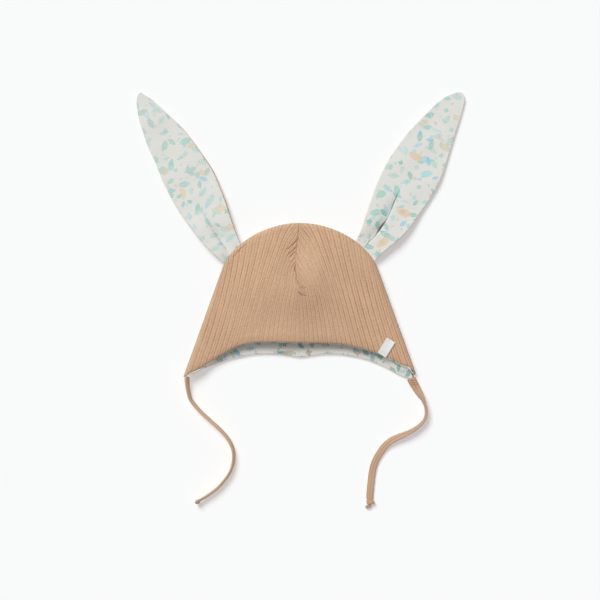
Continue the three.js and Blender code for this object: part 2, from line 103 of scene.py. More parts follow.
@dataclass(frozen=True)
class SmoothTable:
    """A smooth curve through the values of a table, read between its first and last key."""

    keys: tuple[float, ...]
    values: tuple[float, ...]

    def at(self, place: Number) -> Array:
        """Read the curve.

        Args:
            place: the key or keys to read it at.

        Returns:
            The values there.
        """
        keys = np.array(self.keys)
        values = np.array(self.values)
        last = len(keys) - 1
        before = np.maximum(np.arange(last + 1) - 1, 0)
        after = np.minimum(np.arange(last + 1) + 1, last)
        slopes = (values[after] - values[before]) / (keys[after] - keys[before])
        held = np.clip(place, keys[0], keys[-1])
        i = np.clip(np.searchsorted(keys, held) - 1, 0, last - 1)
        run = keys[i + 1] - keys[i]
        t = (held - keys[i]) / run
        start = (2 * t**3 - 3 * t**2 + 1) * values[i] + (t**3 - 2 * t**2 + t) * run * slopes[i]
        end = (3 * t**2 - 2 * t**3) * values[i + 1] + (t**3 - t**2) * run * slopes[i + 1]
        return start + end


@dataclass(frozen=True)
class Hem:
    """A hem line over the plan, as shares of its rise, left and right of the middle."""

    rise: float
    out: tuple[float, ...]
    left: tuple[float, ...]
    right: tuple[float, ...]


FRONT_HEM = Hem(
    rise=30.0,
    out=(0, 0.173, 0.346, 0.432, 0.519, 0.605, 0.691, 0.778, 0.864, 0.951, 1),
    left=(1, 1.016, 1.016, 0.984, 0.905, 0.765, 0.575, 0.385, 0.175, 0.03, -0.06),
    right=(1, 0.99, 0.96, 0.91, 0.83, 0.745, 0.63, 0.49, 0.325, 0.215, 0.08),
)
BACK_HEM = Hem(
    rise=20.0,
    out=(0, 0.087, 0.173, 0.259, 0.346, 0.432, 0.519, 0.605, 0.691, 0.778, 0.864, 0.951, 1),
    left=(0.836, 0.907, 0.979, 1, 1, 0.955, 0.86, 0.741, 0.575, 0.385, 0.219, 0, -0.138),
    right=(0.836, 0.907, 0.979, 1, 0.979, 0.907, 0.812, 0.67, 0.48, 0.242, -0.019, -0.162, 0.03),
)


@dataclass(frozen=True)
class Swelling:
    """A soft rise of the front panel: place and radii are shares of half the flap span."""

    x: float
    y: float
    radius_x: float
    radius_y: float
    height: float


SWELLINGS = (
    Swelling(0, 0.12, 0.66, 0.47, 0.86),
    Swelling(0.02, 0.06, 0.22, 0.2, 0.22),
    Swelling(-0.56, -0.16, 0.24, 0.4, 0.17),
    Swelling(0.62, -0.32, 0.22, 0.24, 0.15),
    Swelling(-0.16, -0.37, 0.36, 0.13, 0.2),
)


@dataclass(frozen=True)
class Crease:
    """A short fold in the cloth between two points of the plan, in millimetres, with painted shade along
    its bottom.
    """

    start: tuple[float, float]
    end: tuple[float, float]
    depth: float
    width: float
    # shade and line: strength and width of the painted shade along the crease's bottom
    shade: float = 0.8
    line: float = 0.6

    def depth_at(self, x: Array, y: Array) -> Array:
        """How deep the crease is at points of the plan.

        Args:
            x: the points' first coordinates.
            y: the points' second coordinates.

        Returns:
            The depth at each point.
        """
        run_x = self.end[0] - self.start[0]
        run_y = self.end[1] - self.start[1]
        along = ((x - self.start[0]) * run_x + (y - self.start[1]) * run_y) / (run_x**2 + run_y**2)
        held = np.clip(along, 0, 1)
        away = np.hypot(x - self.start[0] - held * run_x, y - self.start[1] - held * run_y)
        return self.depth * bell(away, self.width)


# The front's creases; in the front knit each also gets painted shade along its bottom.
CREASES = (
    Crease((-12.0, 47.5), (-2.2, 57.0), 0.45, 0.8, shade=0.95),
    Crease((-11.2, 42.8), (-3.4, 50.2), 0.45, 0.8, shade=1.0),
    Crease((-10.2, 40.0), (-4.2, 45.6), 0.4, 0.8, shade=0.75),
    Crease((-9.4, 35.2), (-4.6, 39.8), 0.3, 0.8, shade=0.5),
    Crease((-8.6, 30.8), (-5.0, 34.4), 0.25, 0.7, shade=0.35),
    Crease((-5.4, 26.5), (-4.1, 34.5), 0.4, 0.8, shade=0.7),
    Crease((-4.6, 30.5), (-3.2, 20.5), 0.3, 0.8, shade=0.5),
    Crease((-3.6, 20.5), (-1.0, 14.5), 0.3, 0.8, shade=0.5),
    Crease((-1.9, 7.2), (2.2, 4.6), 0.45, 0.8, shade=0.75),
    Crease((2.2, 4.6), (6.0, 4.2), 0.4, 0.8, shade=0.8),
    Crease((-0.2, 13.0), (3.4, 11.0), 0.3, 0.7, shade=0.55),
    Crease((3.4, 11.0), (5.8, 12.0), 0.25, 0.7, shade=0.45),
    Crease((-0.9, 74.0), (-1.9, 56.0), 0.3, 0.7, shade=0.35),
    Crease((-2.2, 57.0), (-3.9, 43.0), 0.3, 0.7, shade=0.4),
    Crease((-61.0, 44.4), (-50.4, 53.4), 0.45, 0.8, shade=0.7),
    Crease((-63.6, 39.9), (-57.0, 47.0), 0.4, 0.8, shade=0.6),
)
SEAM_SWAY = SmoothTable(
    (0, 8, 12.3, 15.2, 22.8, 30.4, 36, 47.5, 57, 73),
    (0, 0, 0.6, -0.9, -2.8, -4.6, -3.8, -2.8, -1.9, -1),
)


@dataclass(frozen=True)
class Calm:
    """A part of the front, in millimetres, where the cloth is stretched and its ribs are faint."""

    x: float
    y: float
    radius_x: float
    radius_y: float
    keep: float

    def kept(self, x: Array, y: Array) -> Array:
        """The share of their depth that the ribs keep at points of the plan."""
        away = ((x - self.x) / self.radius_x) ** 2 + ((y - self.y) / self.radius_y) ** 2
        return mix(self.keep, 1, soft_step(*CALM_EDGE, away))


CALM_EDGE = (0.15, 1.2)
CALMS = (Calm(9.5, 36.0, 12.0, 27.0, 0.4), Calm(4.0, -30.0, 60.0, 20.0, 0.62))
BROW_SAG = 1.1
BROW_SAG_REACH = 3.6


def brow_sag(run: Number) -> Number:
    """How far the brow sinks towards its hem, at millimetres in from it."""
    return BROW_SAG * bell(run, BROW_SAG_REACH)


@dataclass(frozen=True)
class HatPlan:
    """Lines and heights of the lying hat, the same that its solids follow, in millimetres."""

    flap_span: float = 220.0
    crown_top: float = 73.0
    flap_reach: float = 70.5
    shoulder_span: float = 147.0
    shoulder_rise: float = 30.5
    dart_length: float = 66.5
    shell_wall: float = 1.5
    lining_wall: float = 1.0
    cloth_gap: float = 0.3
    joint_gap: float = 0.3
    rib_pitch: float = 4.65
    seam_rise: float = 1.4
    inner_fold: float = 1.7
    side_hold: int = 30
    dome_height: float = 11.5
    dome_reach: float = 26.0
    tip_lift: float = 2.8
    tip_lift_reach: float = 20.0
    hem_roll: float = 0.8
    hem_roll_width: float = 1.6
    rib_slant: float = 1.3
    rib_bend: float = 0.6
    dart_share: float = 0.364
    dart_spread: float = 0.85
    crown_spread: float = 1.3
    flap_start: float = 0.44
    flap_stretch: float = 0.128
    shoulder_handle: float = 0.285
    crown_handle: float = 0.49
    outline_steps: int = 120
    slope_step: float = 0.4

    @property
    def half_span(self) -> float:
        """Half the width over the flap tips."""
        return self.flap_span / 2

    @property
    def dart_end(self) -> float:
        """The level at which the dart ends."""
        return self.crown_top - self.dart_length

    @property
    def lining_depth(self) -> float:
        """How far the lining's outer face lies under the shell's."""
        return self.shell_wall + self.cloth_gap

    @property
    def inside(self) -> float:
        """How far the lining's inner face lies under the shell's outer face."""
        return self.lining_depth + self.lining_wall

    @property
    def seam_height(self) -> float:
        """Height of the crown seam above the floor."""
        return self.inside + self.seam_rise

    @property
    def edge_rounding(self) -> float:
        """Radius of the shell's fold along the crown seam."""
        return self.inside + self.inner_fold

    @property
    def side_direction(self) -> Array:
        """Unit direction of the right-hand straight side, from its foot to the shoulder.

        Returns:
            The direction over the plan.
        """
        run = np.array(
            [self.shoulder_span / 2 - self.half_span, self.shoulder_rise + self.flap_reach]
        )
        return run / np.linalg.norm(run)

    @property
    def ribs_per_side(self) -> int:
        """Ribs from the middle to one side."""
        return round((1 - self.flap_stretch) * self.half_span / self.rib_pitch)

    @property
    def ribs_in_dart(self) -> int:
        """Ribs of one side that run into the dart."""
        return max(1, round(self.ribs_per_side * self.dart_share))

    def crown(self, t: Number) -> tuple[Array, Array]:
        """Points and unit directions of the crown's arc.

        Args:
            t: places along the arc, from 0 at the shoulder to 1 at the top.

        Returns:
            The points and the directions, with two columns each.
        """
        half = self.shoulder_span / 2
        corners = [
            np.array([half, self.shoulder_rise]),
            np.array([half, self.shoulder_rise]) + self.side_direction * self.shoulder_handle * half,
            np.array([self.crown_handle * half, self.crown_top]),
            np.array([0.0, self.crown_top]),
        ]
        t = np.asarray(t, dtype=float)[..., None]
        a, b, c, d = corners
        point = (1 - t) ** 3 * a + 3 * (1 - t) ** 2 * t * b + 3 * (1 - t) * t**2 * c + t**3 * d
        run = (1 - t) ** 2 * (b - a) + 2 * (1 - t) * t * (c - b) + t**2 * (d - c)
        return point, run / np.linalg.norm(run, axis=-1, keepdims=True)

    def crown_point(self, t: Number, inset: float) -> Array:
        """Points of the crown's arc, moved in by an inset."""
        point, run = self.crown(t)
        return point + inset * np.stack([-run[..., 1], run[..., 0]], axis=-1)

    def distance_in(self, x: Array, y: Array) -> Array:
        """Distance in from the outline, negative outside it.

        Args:
            x: the points' first coordinates.
            y: the points' second coordinates.

        Returns:
            The distance at each point.
        """
        foot = np.array([self.half_span, -self.flap_reach])
        start = foot - self.side_direction * self.shoulder_span / 2
        arc = self.crown(np.linspace(0, 1, self.outline_steps + 1))[0]
        line = np.vstack([start, arc])
        px = np.abs(x)
        nearest = np.full(np.shape(px), np.inf)
        sign = np.ones(np.shape(px))
        for a, b in zip(line[:-1], line[1:]):
            dx, dy = b - a
            t = np.clip(((px - a[0]) * dx + (y - a[1]) * dy) / (dx * dx + dy * dy), 0, 1)
            gap = np.hypot(px - a[0] - t * dx, y - a[1] - t * dy)
            closer = gap < nearest
            nearest = np.where(closer, gap, nearest)
            turned = dx * (y - a[1]) - dy * (px - a[0]) >= 0
            sign = np.where(closer, np.where(turned, 1, -1), sign)
        return sign * nearest

    def hem_at(self, hem: Hem, x: Array) -> Array:
        """The level of a hem over the plan.

        Args:
            hem: the hem.
            x: places across the hat.

        Returns:
            Its level at each place.
        """
        out = np.abs(x) / self.half_span
        left = SmoothTable(hem.out, hem.left).at(out)
        right = SmoothTable(hem.out, hem.right).at(out)
        return hem.rise * np.where(x < 0, left, right) - self.flap_reach

    def place_of_rib(self, rib: Array) -> Array:
        """The share of the way from the middle to the side at which a rib lies.

        Args:
            rib: numbers of ribs, counted from the middle.

        Returns:
            The share for each rib.
        """
        inner = self.dart_share * rib / self.ribs_in_dart
        beyond = (rib - self.ribs_in_dart) / (self.ribs_per_side - self.ribs_in_dart)
        return np.where(rib <= self.ribs_in_dart, inner, mix(self.dart_share, 1, beyond))

    def feet(self, u: Array, side: Array, hem: Hem, inset: float) -> Array:
        """Where ribs meet the hem.

        Args:
            u: shares of the way from the middle to the side.
            side: -1 for the left, 1 for the right.
            hem: the hem that they meet.
            inset: depth of the cloth under the outer face.

        Returns:
            The points, with two columns.
        """
        slanted = np.maximum(0, (u - self.flap_start) / (1 - self.flap_start))
        reach = (1 - self.flap_stretch) * u + self.flap_stretch * slanted**2
        x = side * reach * (self.half_span - inset / self.side_direction[1])
        return np.stack([x, self.hem_at(hem, x)], axis=-1)

    def heads(self, u: Array, side: Array, inset: float) -> Array:
        """Where ribs end, in the dart or at the crown's seam.

        Args:
            u: shares of the way from the middle to the side.
            side: -1 for the left, 1 for the right.
            inset: depth of the cloth under the outer face.

        Returns:
            The points, with two columns.
        """
        rise = np.clip(u / self.dart_share, 0, 1) ** self.dart_spread
        level = mix(self.dart_end, self.crown_top - inset, rise)
        in_dart = np.stack([np.zeros_like(u), level], axis=-1)
        beyond = np.clip((u - self.dart_share) / (1 - self.dart_share), 0, 1)
        on_crown = self.crown_point(1 - beyond**self.crown_spread, inset)
        on_crown[..., 0] *= side
        return np.where((u <= self.dart_share)[..., None], in_dart, on_crown)

    def along_ribs(
        self, places: Array, hem: Hem, inset: float, rows: "RibRows", drop: "HemDrop"
    ) -> tuple[Array, Array, Array]:
        """A grid of the plan that follows the ribs.

        Args:
            places: signed share of each column, from -1 at the left side to 1.
            hem: the hem at which the columns start.
            inset: depth of the cloth under the outer face.
            rows: the rows along each rib.
            drop: how far past the hem the cloth goes on.

        Returns:
            The points' two coordinates and their run along the rib from the hem.
        """
        side = np.where(places < 0, -1.0, 1.0)
        u = np.abs(places)
        foot = self.feet(u, side, hem, inset)
        foot[:, 1] -= drop.at(foot[:, 0])
        head = self.heads(u, side, inset)
        slope = -self.side_direction[0] / self.side_direction[1]
        above = np.maximum(0, foot[:, 1] + self.flap_reach)
        foot[:, 0] -= side * slope * above * u**self.side_hold
        slant = slope * np.sin(np.pi / 2 * u) ** self.rib_slant
        rise = head[:, 1] - foot[:, 1]
        turn = foot[:, 0] - side * slant * self.rib_bend * rise
        turn = np.where(u == 1, mix(foot[:, 0], head[:, 0], self.rib_bend), turn)
        bend = np.stack([turn, foot[:, 1] + self.rib_bend * rise], axis=-1)
        length = np.linalg.norm(head - foot, axis=-1)
        share = rows.shares(length)
        t = share[..., None]
        point = (1 - t) ** 2 * foot + 2 * (1 - t) * t * bend + t**2 * head
        return point[..., 0], point[..., 1], share * length

    def tip_lift_at(self, x: Array, y: Array) -> Array:
        """How far the left flap's tip curls off the floor."""
        away = np.hypot(x + self.half_span, y + self.flap_reach)
        return self.tip_lift * bell(away, self.tip_lift_reach)

    def front_height(self, x: Array, y: Array, depth: float) -> Array:
        """Height of a layer of the front.

        Args:
            x: the points' first coordinates.
            y: the points' second coordinates.
            depth: how far the layer lies under the outer face.

        Returns:
            The height at each point.
        """
        within = np.maximum(depth, self.distance_in(x, y))
        radius = self.edge_rounding - depth
        fold = radius * ease((within - depth) / radius)
        swelling = sum(
            s.height
            * bell(x / self.half_span - s.x, s.radius_x)
            * bell(y / self.half_span - s.y, s.radius_y)
            for s in SWELLINGS
        )
        puff = self.dome_height * swelling * (1 - np.exp(-(within - depth) / self.dome_reach))
        into_hem = np.maximum(0, 1 - (y - self.hem_at(FRONT_HEM, x)) / self.hem_roll_width)
        turned = self.hem_roll * into_hem * np.clip((within - depth) / self.edge_rounding, 0, 1)
        return self.seam_height + fold + puff - turned + self.tip_lift_at(x, y)

    def back_height(self, x: Array, y: Array, depth: float) -> Array:
        """Height of a layer of the back.

        Args:
            x: the points' first coordinates.
            y: the points' second coordinates.
            depth: how far the layer lies above the outer face.

        Returns:
            The height at each point.
        """
        within = np.maximum(depth, self.distance_in(x, y))
        radius = self.edge_rounding - depth
        fold = (self.seam_height - depth) * ease((within - depth) / radius)
        level = self.seam_height - self.joint_gap - fold * (1 - self.joint_gap / self.seam_height)
        return level + self.tip_lift_at(x, y)

    def normals(self, height_at: HeightAt, x: Array, y: Array) -> Array:
        """Upward unit normals of a height over the plan.

        Args:
            height_at: the height.
            x: the points' first coordinates.
            y: the points' second coordinates.

        Returns:
            The normals, with three columns.
        """
        step = self.slope_step
        slope_x = (height_at(x + step, y) - height_at(x - step, y)) / (2 * step)
        slope_y = (height_at(x, y + step) - height_at(x, y - step)) / (2 * step)
        normal = np.stack([-slope_x, -slope_y, np.ones_like(x)], axis=-1)
        return normal / np.linalg.norm(normal, axis=-1, keepdims=True)


@dataclass(frozen=True)
class HemDrop:
    """How far a cloth reaches past its hem line, with places (x, more, spread) where that differs."""

    usual: float = 0.0
    places: tuple[tuple[float, float, float], ...] = ()

    def more(self, x: Array) -> Array:
        """What the places add to the usual reach across the hat."""
        return sum((more * bell(x - place, spread) for place, more, spread in self.places), 0 * x)

    def at(self, x: Array) -> Array:
        """The reach past the hem at places across the hat."""
        return self.usual + self.more(x)


@dataclass(frozen=True)
class RibRows:
    """Rows of a panel along its ribs, close together at the hem and at the seam."""

    hem_runs: tuple[float, ...] = (0, 0.08, 0.25, 0.5, 0.85, 1.3, 2.0)
    seam_runs: tuple[float, ...] = (0, 0.12, 0.4, 0.85, 1.5, 2.3, 3.3, 4.5)
    middle: int = 66

    def shares(self, length: Array) -> Array:
        """Place the rows.

        Args:
            length: the length of each rib.

        Returns:
            The share of the way along each rib, with a row for each row of the panel.
        """
        first = np.array(self.hem_runs)[:, None] / length
        last = 1 - np.array(self.seam_runs[::-1])[:, None] / length
        steps = np.linspace(0, 1, self.middle + 2)[1:-1, None]
        return np.vstack([first, mix(first[-1], last[0], steps), last])


def finished_object(shape: bmesh.types.BMesh, name: str, finish: bpy.types.Material) -> bpy.types.Object:
    """Turn a shape in millimetres into a smooth object at the origin.

    Args:
        shape: the mesh, which is used up.
        name: the object's name.
        finish: its material.

    Returns:
        The object, linked to the scene.
    """
    bmesh.ops.scale(shape, vec=(MM, MM, MM), verts=shape.verts)
    for face in shape.faces:
        face.smooth = True
    mesh = bpy.data.meshes.new(name)
    shape.to_mesh(mesh)
    shape.free()
    mesh.materials.append(finish)
    piece = bpy.data.objects.new(name, mesh)
    bpy.context.scene.collection.objects.link(piece)
    return piece


def add_grid(
    shape: bmesh.types.BMesh,
    points: Array,
    pattern: Array,
    turned: bool,
    painted_shade: Array | None = None,
) -> None:
    """Add a grid of faces to a shape and lay the cloth's pattern on it.

    Args:
        shape: the mesh that gets the grid.
        points: rows by columns by three coordinates, in millimetres.
        pattern: rows by columns by two coordinates of the cloth.
        turned: whether the faces look the other way.
        painted_shade: how much painted shade each point gets, from 0 to 1.
    """
    rows, columns = points.shape[:2]
    layer = shape.loops.layers.uv.get(CLOTH_MAP) or shape.loops.layers.uv.new(CLOTH_MAP)
    # the vertex layer that holds each point's painted shade
    depth = shape.verts.layers.float.get(PAINTED_SHADE_MAP) or shape.verts.layers.float.new(PAINTED_SHADE_MAP)
    made = bmesh.ops.create_grid(shape, x_segments=columns - 1, y_segments=rows - 1, size=0.5)
    places = pattern.reshape(-1, 2).tolist()
    faces = []
    place_of = {}
    for vert, point, place in zip(made["verts"], points.reshape(-1, 3).tolist(), places):
        vert.co = point
        place_of[vert] = place
        faces.extend(vert.link_faces)
    grid_faces = list(dict.fromkeys(faces))
    for face in grid_faces:
        for loop in face.loops:
            loop[layer].uv = place_of[loop.vert]
    if painted_shade is not None:
        for vert, value in zip(place_of, painted_shade.reshape(-1).tolist()):
            vert[depth] = value
    if turned:
        bmesh.ops.reverse_faces(shape, faces=grid_faces)


def closed_cloth(
    name: str,
    top: Array,
    bottom: Array,
    pattern: Array,
    finish: bpy.types.Material,
    painted_shade: Array | None = None,
) -> bpy.types.Object:
    """Make one closed cloth from its two faces, which share their border.

    Args:
        name: the object's name.
        top: the upper face, rows by columns by three coordinates.
        bottom: the lower face, in the same rows and columns.
        pattern: the cloth's own coordinates of each point.
        finish: its material.
        painted_shade: how much painted shade each point of the upper face gets, from 0 to 1.

    Returns:
        The object, linked to the scene.
    """
    shape = bmesh.new()
    add_grid(shape, top, pattern, turned=False, painted_shade=painted_shade)
    add_grid(shape, bottom, pattern, turned=True)
    border = [vert for vert in shape.verts if vert.is_boundary]
    bmesh.ops.remove_doubles(shape, verts=border, dist=MERGE_GAP)
    bmesh.ops.dissolve_degenerate(shape, dist=MERGE_GAP / 10, edges=shape.edges)
    return finished_object(shape, name, finish)


def grid_normals(points: Array) -> Array:
    """Unit normals of a grid of points, from its rows and columns.

    Args:
        points: rows by columns by three coordinates.

    Returns:
        The normals, in the same rows and columns.
    """
    along = np.gradient(points, axis=0)
    across = np.gradient(points, axis=1)
    normal = np.cross(across, along)
    return normal / np.maximum(np.linalg.norm(normal, axis=-1, keepdims=True), SMALLEST)


def waver(x: Array, y: Array, length: float, seed: int) -> Array:
    """A smooth unevenness of the cloth, between about -1 and 1.

    Args:
        x: the points' first coordinates.
        y: the points' second coordinates.
        length: the length of its waves.
        seed: picks one of many.

    Returns:
        The unevenness at each point.
    """
    dice = np.random.default_rng(seed)
    total = np.zeros_like(x)
    waves = 7
    for _ in range(waves):
        angle, phase = dice.uniform(0, FULL_TURN, 2)
        stretch = dice.uniform(0.6, 1.7)
        run = (x * np.cos(angle) + y * np.sin(angle)) * FULL_TURN / (length * stretch)
        total += np.sin(run + phase)
    return total / np.sqrt(waves)


class FinishTree:
    """The nodes of one material, with short calls for those that the finishes share."""

    def __init__(self, name: str, roughness: float, sheen: float = 0.0, specular: float = 0.3) -> None:
        """Start a material.

        Args:
            name: the material's name.
            roughness: of the whole surface.
            sheen: how much its fibres catch the light.
            specular: the strength of its gloss.
        """
        self.material = bpy.data.materials.new(name)
        self.material.use_nodes = True
        self.nodes = self.material.node_tree.nodes
        self.shader = self.nodes["Principled BSDF"]
        self.shader.inputs["Roughness"].default_value = roughness
        self.shader.inputs["Sheen Weight"].default_value = sheen
        self.shader.inputs["Specular IOR Level"].default_value = specular

    def join(self, source: Socket, target: Socket) -> None:
        """Link two sockets."""
        self.material.node_tree.links.new(source, target)

    def feed(self, target: Socket, value: object) -> None:
        """Give a socket a wire or a plain value.

        Args:
            target: the socket.
            value: a wire, another socket, a number or a colour.
        """
        if isinstance(value, Wire):
            self.join(value.socket, target)
        elif isinstance(value, Socket):
            self.join(value, target)
        else:
            target.default_value = value

    def maths(self, operation: str, *values: object) -> "Wire":
        """Work out a number from one or more others.

        Args:
            operation: the name of Blender's operation.
            values: wires or plain numbers.

        Returns:
            The result.
        """
        node = self.nodes.new("ShaderNodeMath")
        node.operation = operation
        for target, value in zip(node.inputs, values):
            self.feed(target, value)
        return Wire(self, node.outputs[0])

    def pattern(self) -> tuple["Wire", "Wire", Socket]:
        """Read the cloth's own coordinates.

        Returns:
            Across, along, and both as a vector.
        """
        node = self.nodes.new("ShaderNodeUVMap")
        node.uv_map = CLOTH_MAP
        return (*self.parts(node.outputs[0]), node.outputs[0])

    def parts(self, vector: Socket) -> tuple["Wire", "Wire"]:
        """Take a vector apart.

        Args:
            vector: its socket.

        Returns:
            Its first two parts.
        """
        node = self.nodes.new("ShaderNodeSeparateXYZ")
        self.join(vector, node.inputs[0])
        return Wire(self, node.outputs[0]), Wire(self, node.outputs[1])

    def vector(self, x: object, y: object) -> Socket:
        """Put a vector together.

        Args:
            x: its first part.
            y: its second part.

        Returns:
            Its socket.
        """
        node = self.nodes.new("ShaderNodeCombineXYZ")
        self.feed(node.inputs[0], x)
        self.feed(node.inputs[1], y)
        return node.outputs[0]

    def place(self) -> Socket:
        """The object's own coordinates, in metres."""
        return self.nodes.new("ShaderNodeTexCoord").outputs["Object"]

    def painted_shade(self) -> "Wire":
        """Read the painted shade that lies on the cloth.

        Returns:
            Its strength, from 0 to 1.
        """
        node = self.nodes.new("ShaderNodeAttribute")
        node.attribute_name = PAINTED_SHADE_MAP
        return Wire(self, node.outputs["Fac"])

    def crease(self, x: "Wire", y: "Wire", crease: "Crease") -> "Wire":
        """How strongly a crease's painted shade falls on a point.

        Args:
            x: millimetres across the plan.
            y: millimetres along the plan.
            crease: the crease.

        Returns:
            The crease's shade on its line, 0 beyond its width.
        """
        run_x = crease.end[0] - crease.start[0]
        run_y = crease.end[1] - crease.start[1]
        long = run_x**2 + run_y**2
        from_x, from_y = x - crease.start[0], y - crease.start[1]
        share = self.maths("MULTIPLY_ADD", from_x, run_x / long, from_y * (run_y / long))
        held = share.most(0.0).least(1.0)
        away = self.maths("SQRT", (from_x - held * run_x).square() + (from_y - held * run_y).square())
        ends = held * (1 - held) * 4.0
        return (1 - away.between(0.0, crease.line)) * ends.between(-0.2, 0.5) * crease.shade

    def noise(self, vector: Socket, scale: float, detail: float = 2.0) -> "Wire":
        """Soft noise around one half.

        Args:
            vector: the coordinates that it follows.
            scale: how many of its waves fit in one unit.
            detail: how many finer waves are added.

        Returns:
            The noise.
        """
        node = self.nodes.new("ShaderNodeTexNoise")
        node.inputs["Scale"].default_value = scale
        node.inputs["Detail"].default_value = detail
        self.join(vector, node.inputs["Vector"])
        return Wire(self, node.outputs["Fac"])

    def blend(self, share: object, first: object, second: object) -> Socket:
        """Mix two colours.

        Args:
            share: the share of the second.
            first: a colour or a socket.
            second: a colour or a socket.

        Returns:
            The mixed colour.
        """
        node = self.nodes.new("ShaderNodeMix")
        node.data_type = "RGBA"
        self.feed(node.inputs[0], share)
        for target, value in ((node.inputs[6], first), (node.inputs[7], second)):
            self.feed(target, (*value, 1.0) if isinstance(value, tuple) else value)
        return node.outputs[2]

    def shade(self, colour: Socket, factor: "Wire") -> Socket:
        """Multiply a colour by a number.

        Args:
            colour: the colour's socket.
            factor: the number.

        Returns:
            The shaded colour.
        """
        node = self.nodes.new("ShaderNodeVectorMath")
        node.operation = "SCALE"
        self.join(colour, node.inputs[0])
        self.feed(node.inputs["Scale"], factor)
        return node.outputs[0]

    def finish(
        self, colour: Socket, relief: "Wire", depth: float
    ) -> bpy.types.Material:
        """Close the material.

        Args:
            colour: of the surface.
            relief: its fine relief, from 0 to 1.
            depth: the relief's depth in metres.

        Returns:
            The material.
        """
        bump = self.nodes.new("ShaderNodeBump")
        bump.inputs["Strength"].default_value = 1.0
        bump.inputs["Distance"].default_value = depth
        self.feed(bump.inputs["Height"], relief)
        self.join(bump.outputs[0], self.shader.inputs["Normal"])
        self.join(colour, self.shader.inputs["Base Color"])
        return self.material


@dataclass(frozen=True)
class Wire:
    """A number that runs through a material's nodes, with plain arithmetic."""

    tree: FinishTree
    socket: Socket

    def __add__(self, other: object) -> "Wire":
        """The sum."""
        return self.tree.maths("ADD", self, other)

    def __sub__(self, other: object) -> "Wire":
        """The difference."""
        return self.tree.maths("SUBTRACT", self, other)

    def __rsub__(self, other: object) -> "Wire":
        """The difference from a plain number."""
        return self.tree.maths("SUBTRACT", other, self)

    def __mul__(self, other: object) -> "Wire":
        """The product."""
        return self.tree.maths("MULTIPLY", self, other)

    def __truediv__(self, other: object) -> "Wire":
        """The quotient."""
        return self.tree.maths("DIVIDE", self, other)

    def square(self) -> "Wire":
        """The value times itself."""
        return self.tree.maths("MULTIPLY", self, self)

    def size(self) -> "Wire":
        """The value without its sign."""
        return self.tree.maths("ABSOLUTE", self)

    def sine(self) -> "Wire":
        """The sine."""
        return self.tree.maths("SINE", self)

    def rest(self) -> "Wire":
        """The part after the point."""
        return self.tree.maths("FRACT", self)

    def above(self, limit: float) -> "Wire":
        """1 where the value is above the limit, and 0 elsewhere."""
        return self.tree.maths("GREATER_THAN", self, limit)

    def between(self, low: float, high: float) -> "Wire":
        """Make a soft step of the value.

        Args:
            low: where it is 0.
            high: where it is 1.

        Returns:
            The step.
        """
        node = self.tree.nodes.new("ShaderNodeMapRange")
        node.interpolation_type = "SMOOTHSTEP"
        self.tree.feed(node.inputs["Value"], self)
        node.inputs["From Min"].default_value = low
        node.inputs["From Max"].default_value = high
        return Wire(self.tree, node.outputs["Result"])

    def least(self, other: object) -> "Wire":
        """The smaller of two."""
        return self.tree.maths("MINIMUM", self, other)

    def most(self, other: object) -> "Wire":
        """The larger of two."""
        return self.tree.maths("MAXIMUM", self, other)


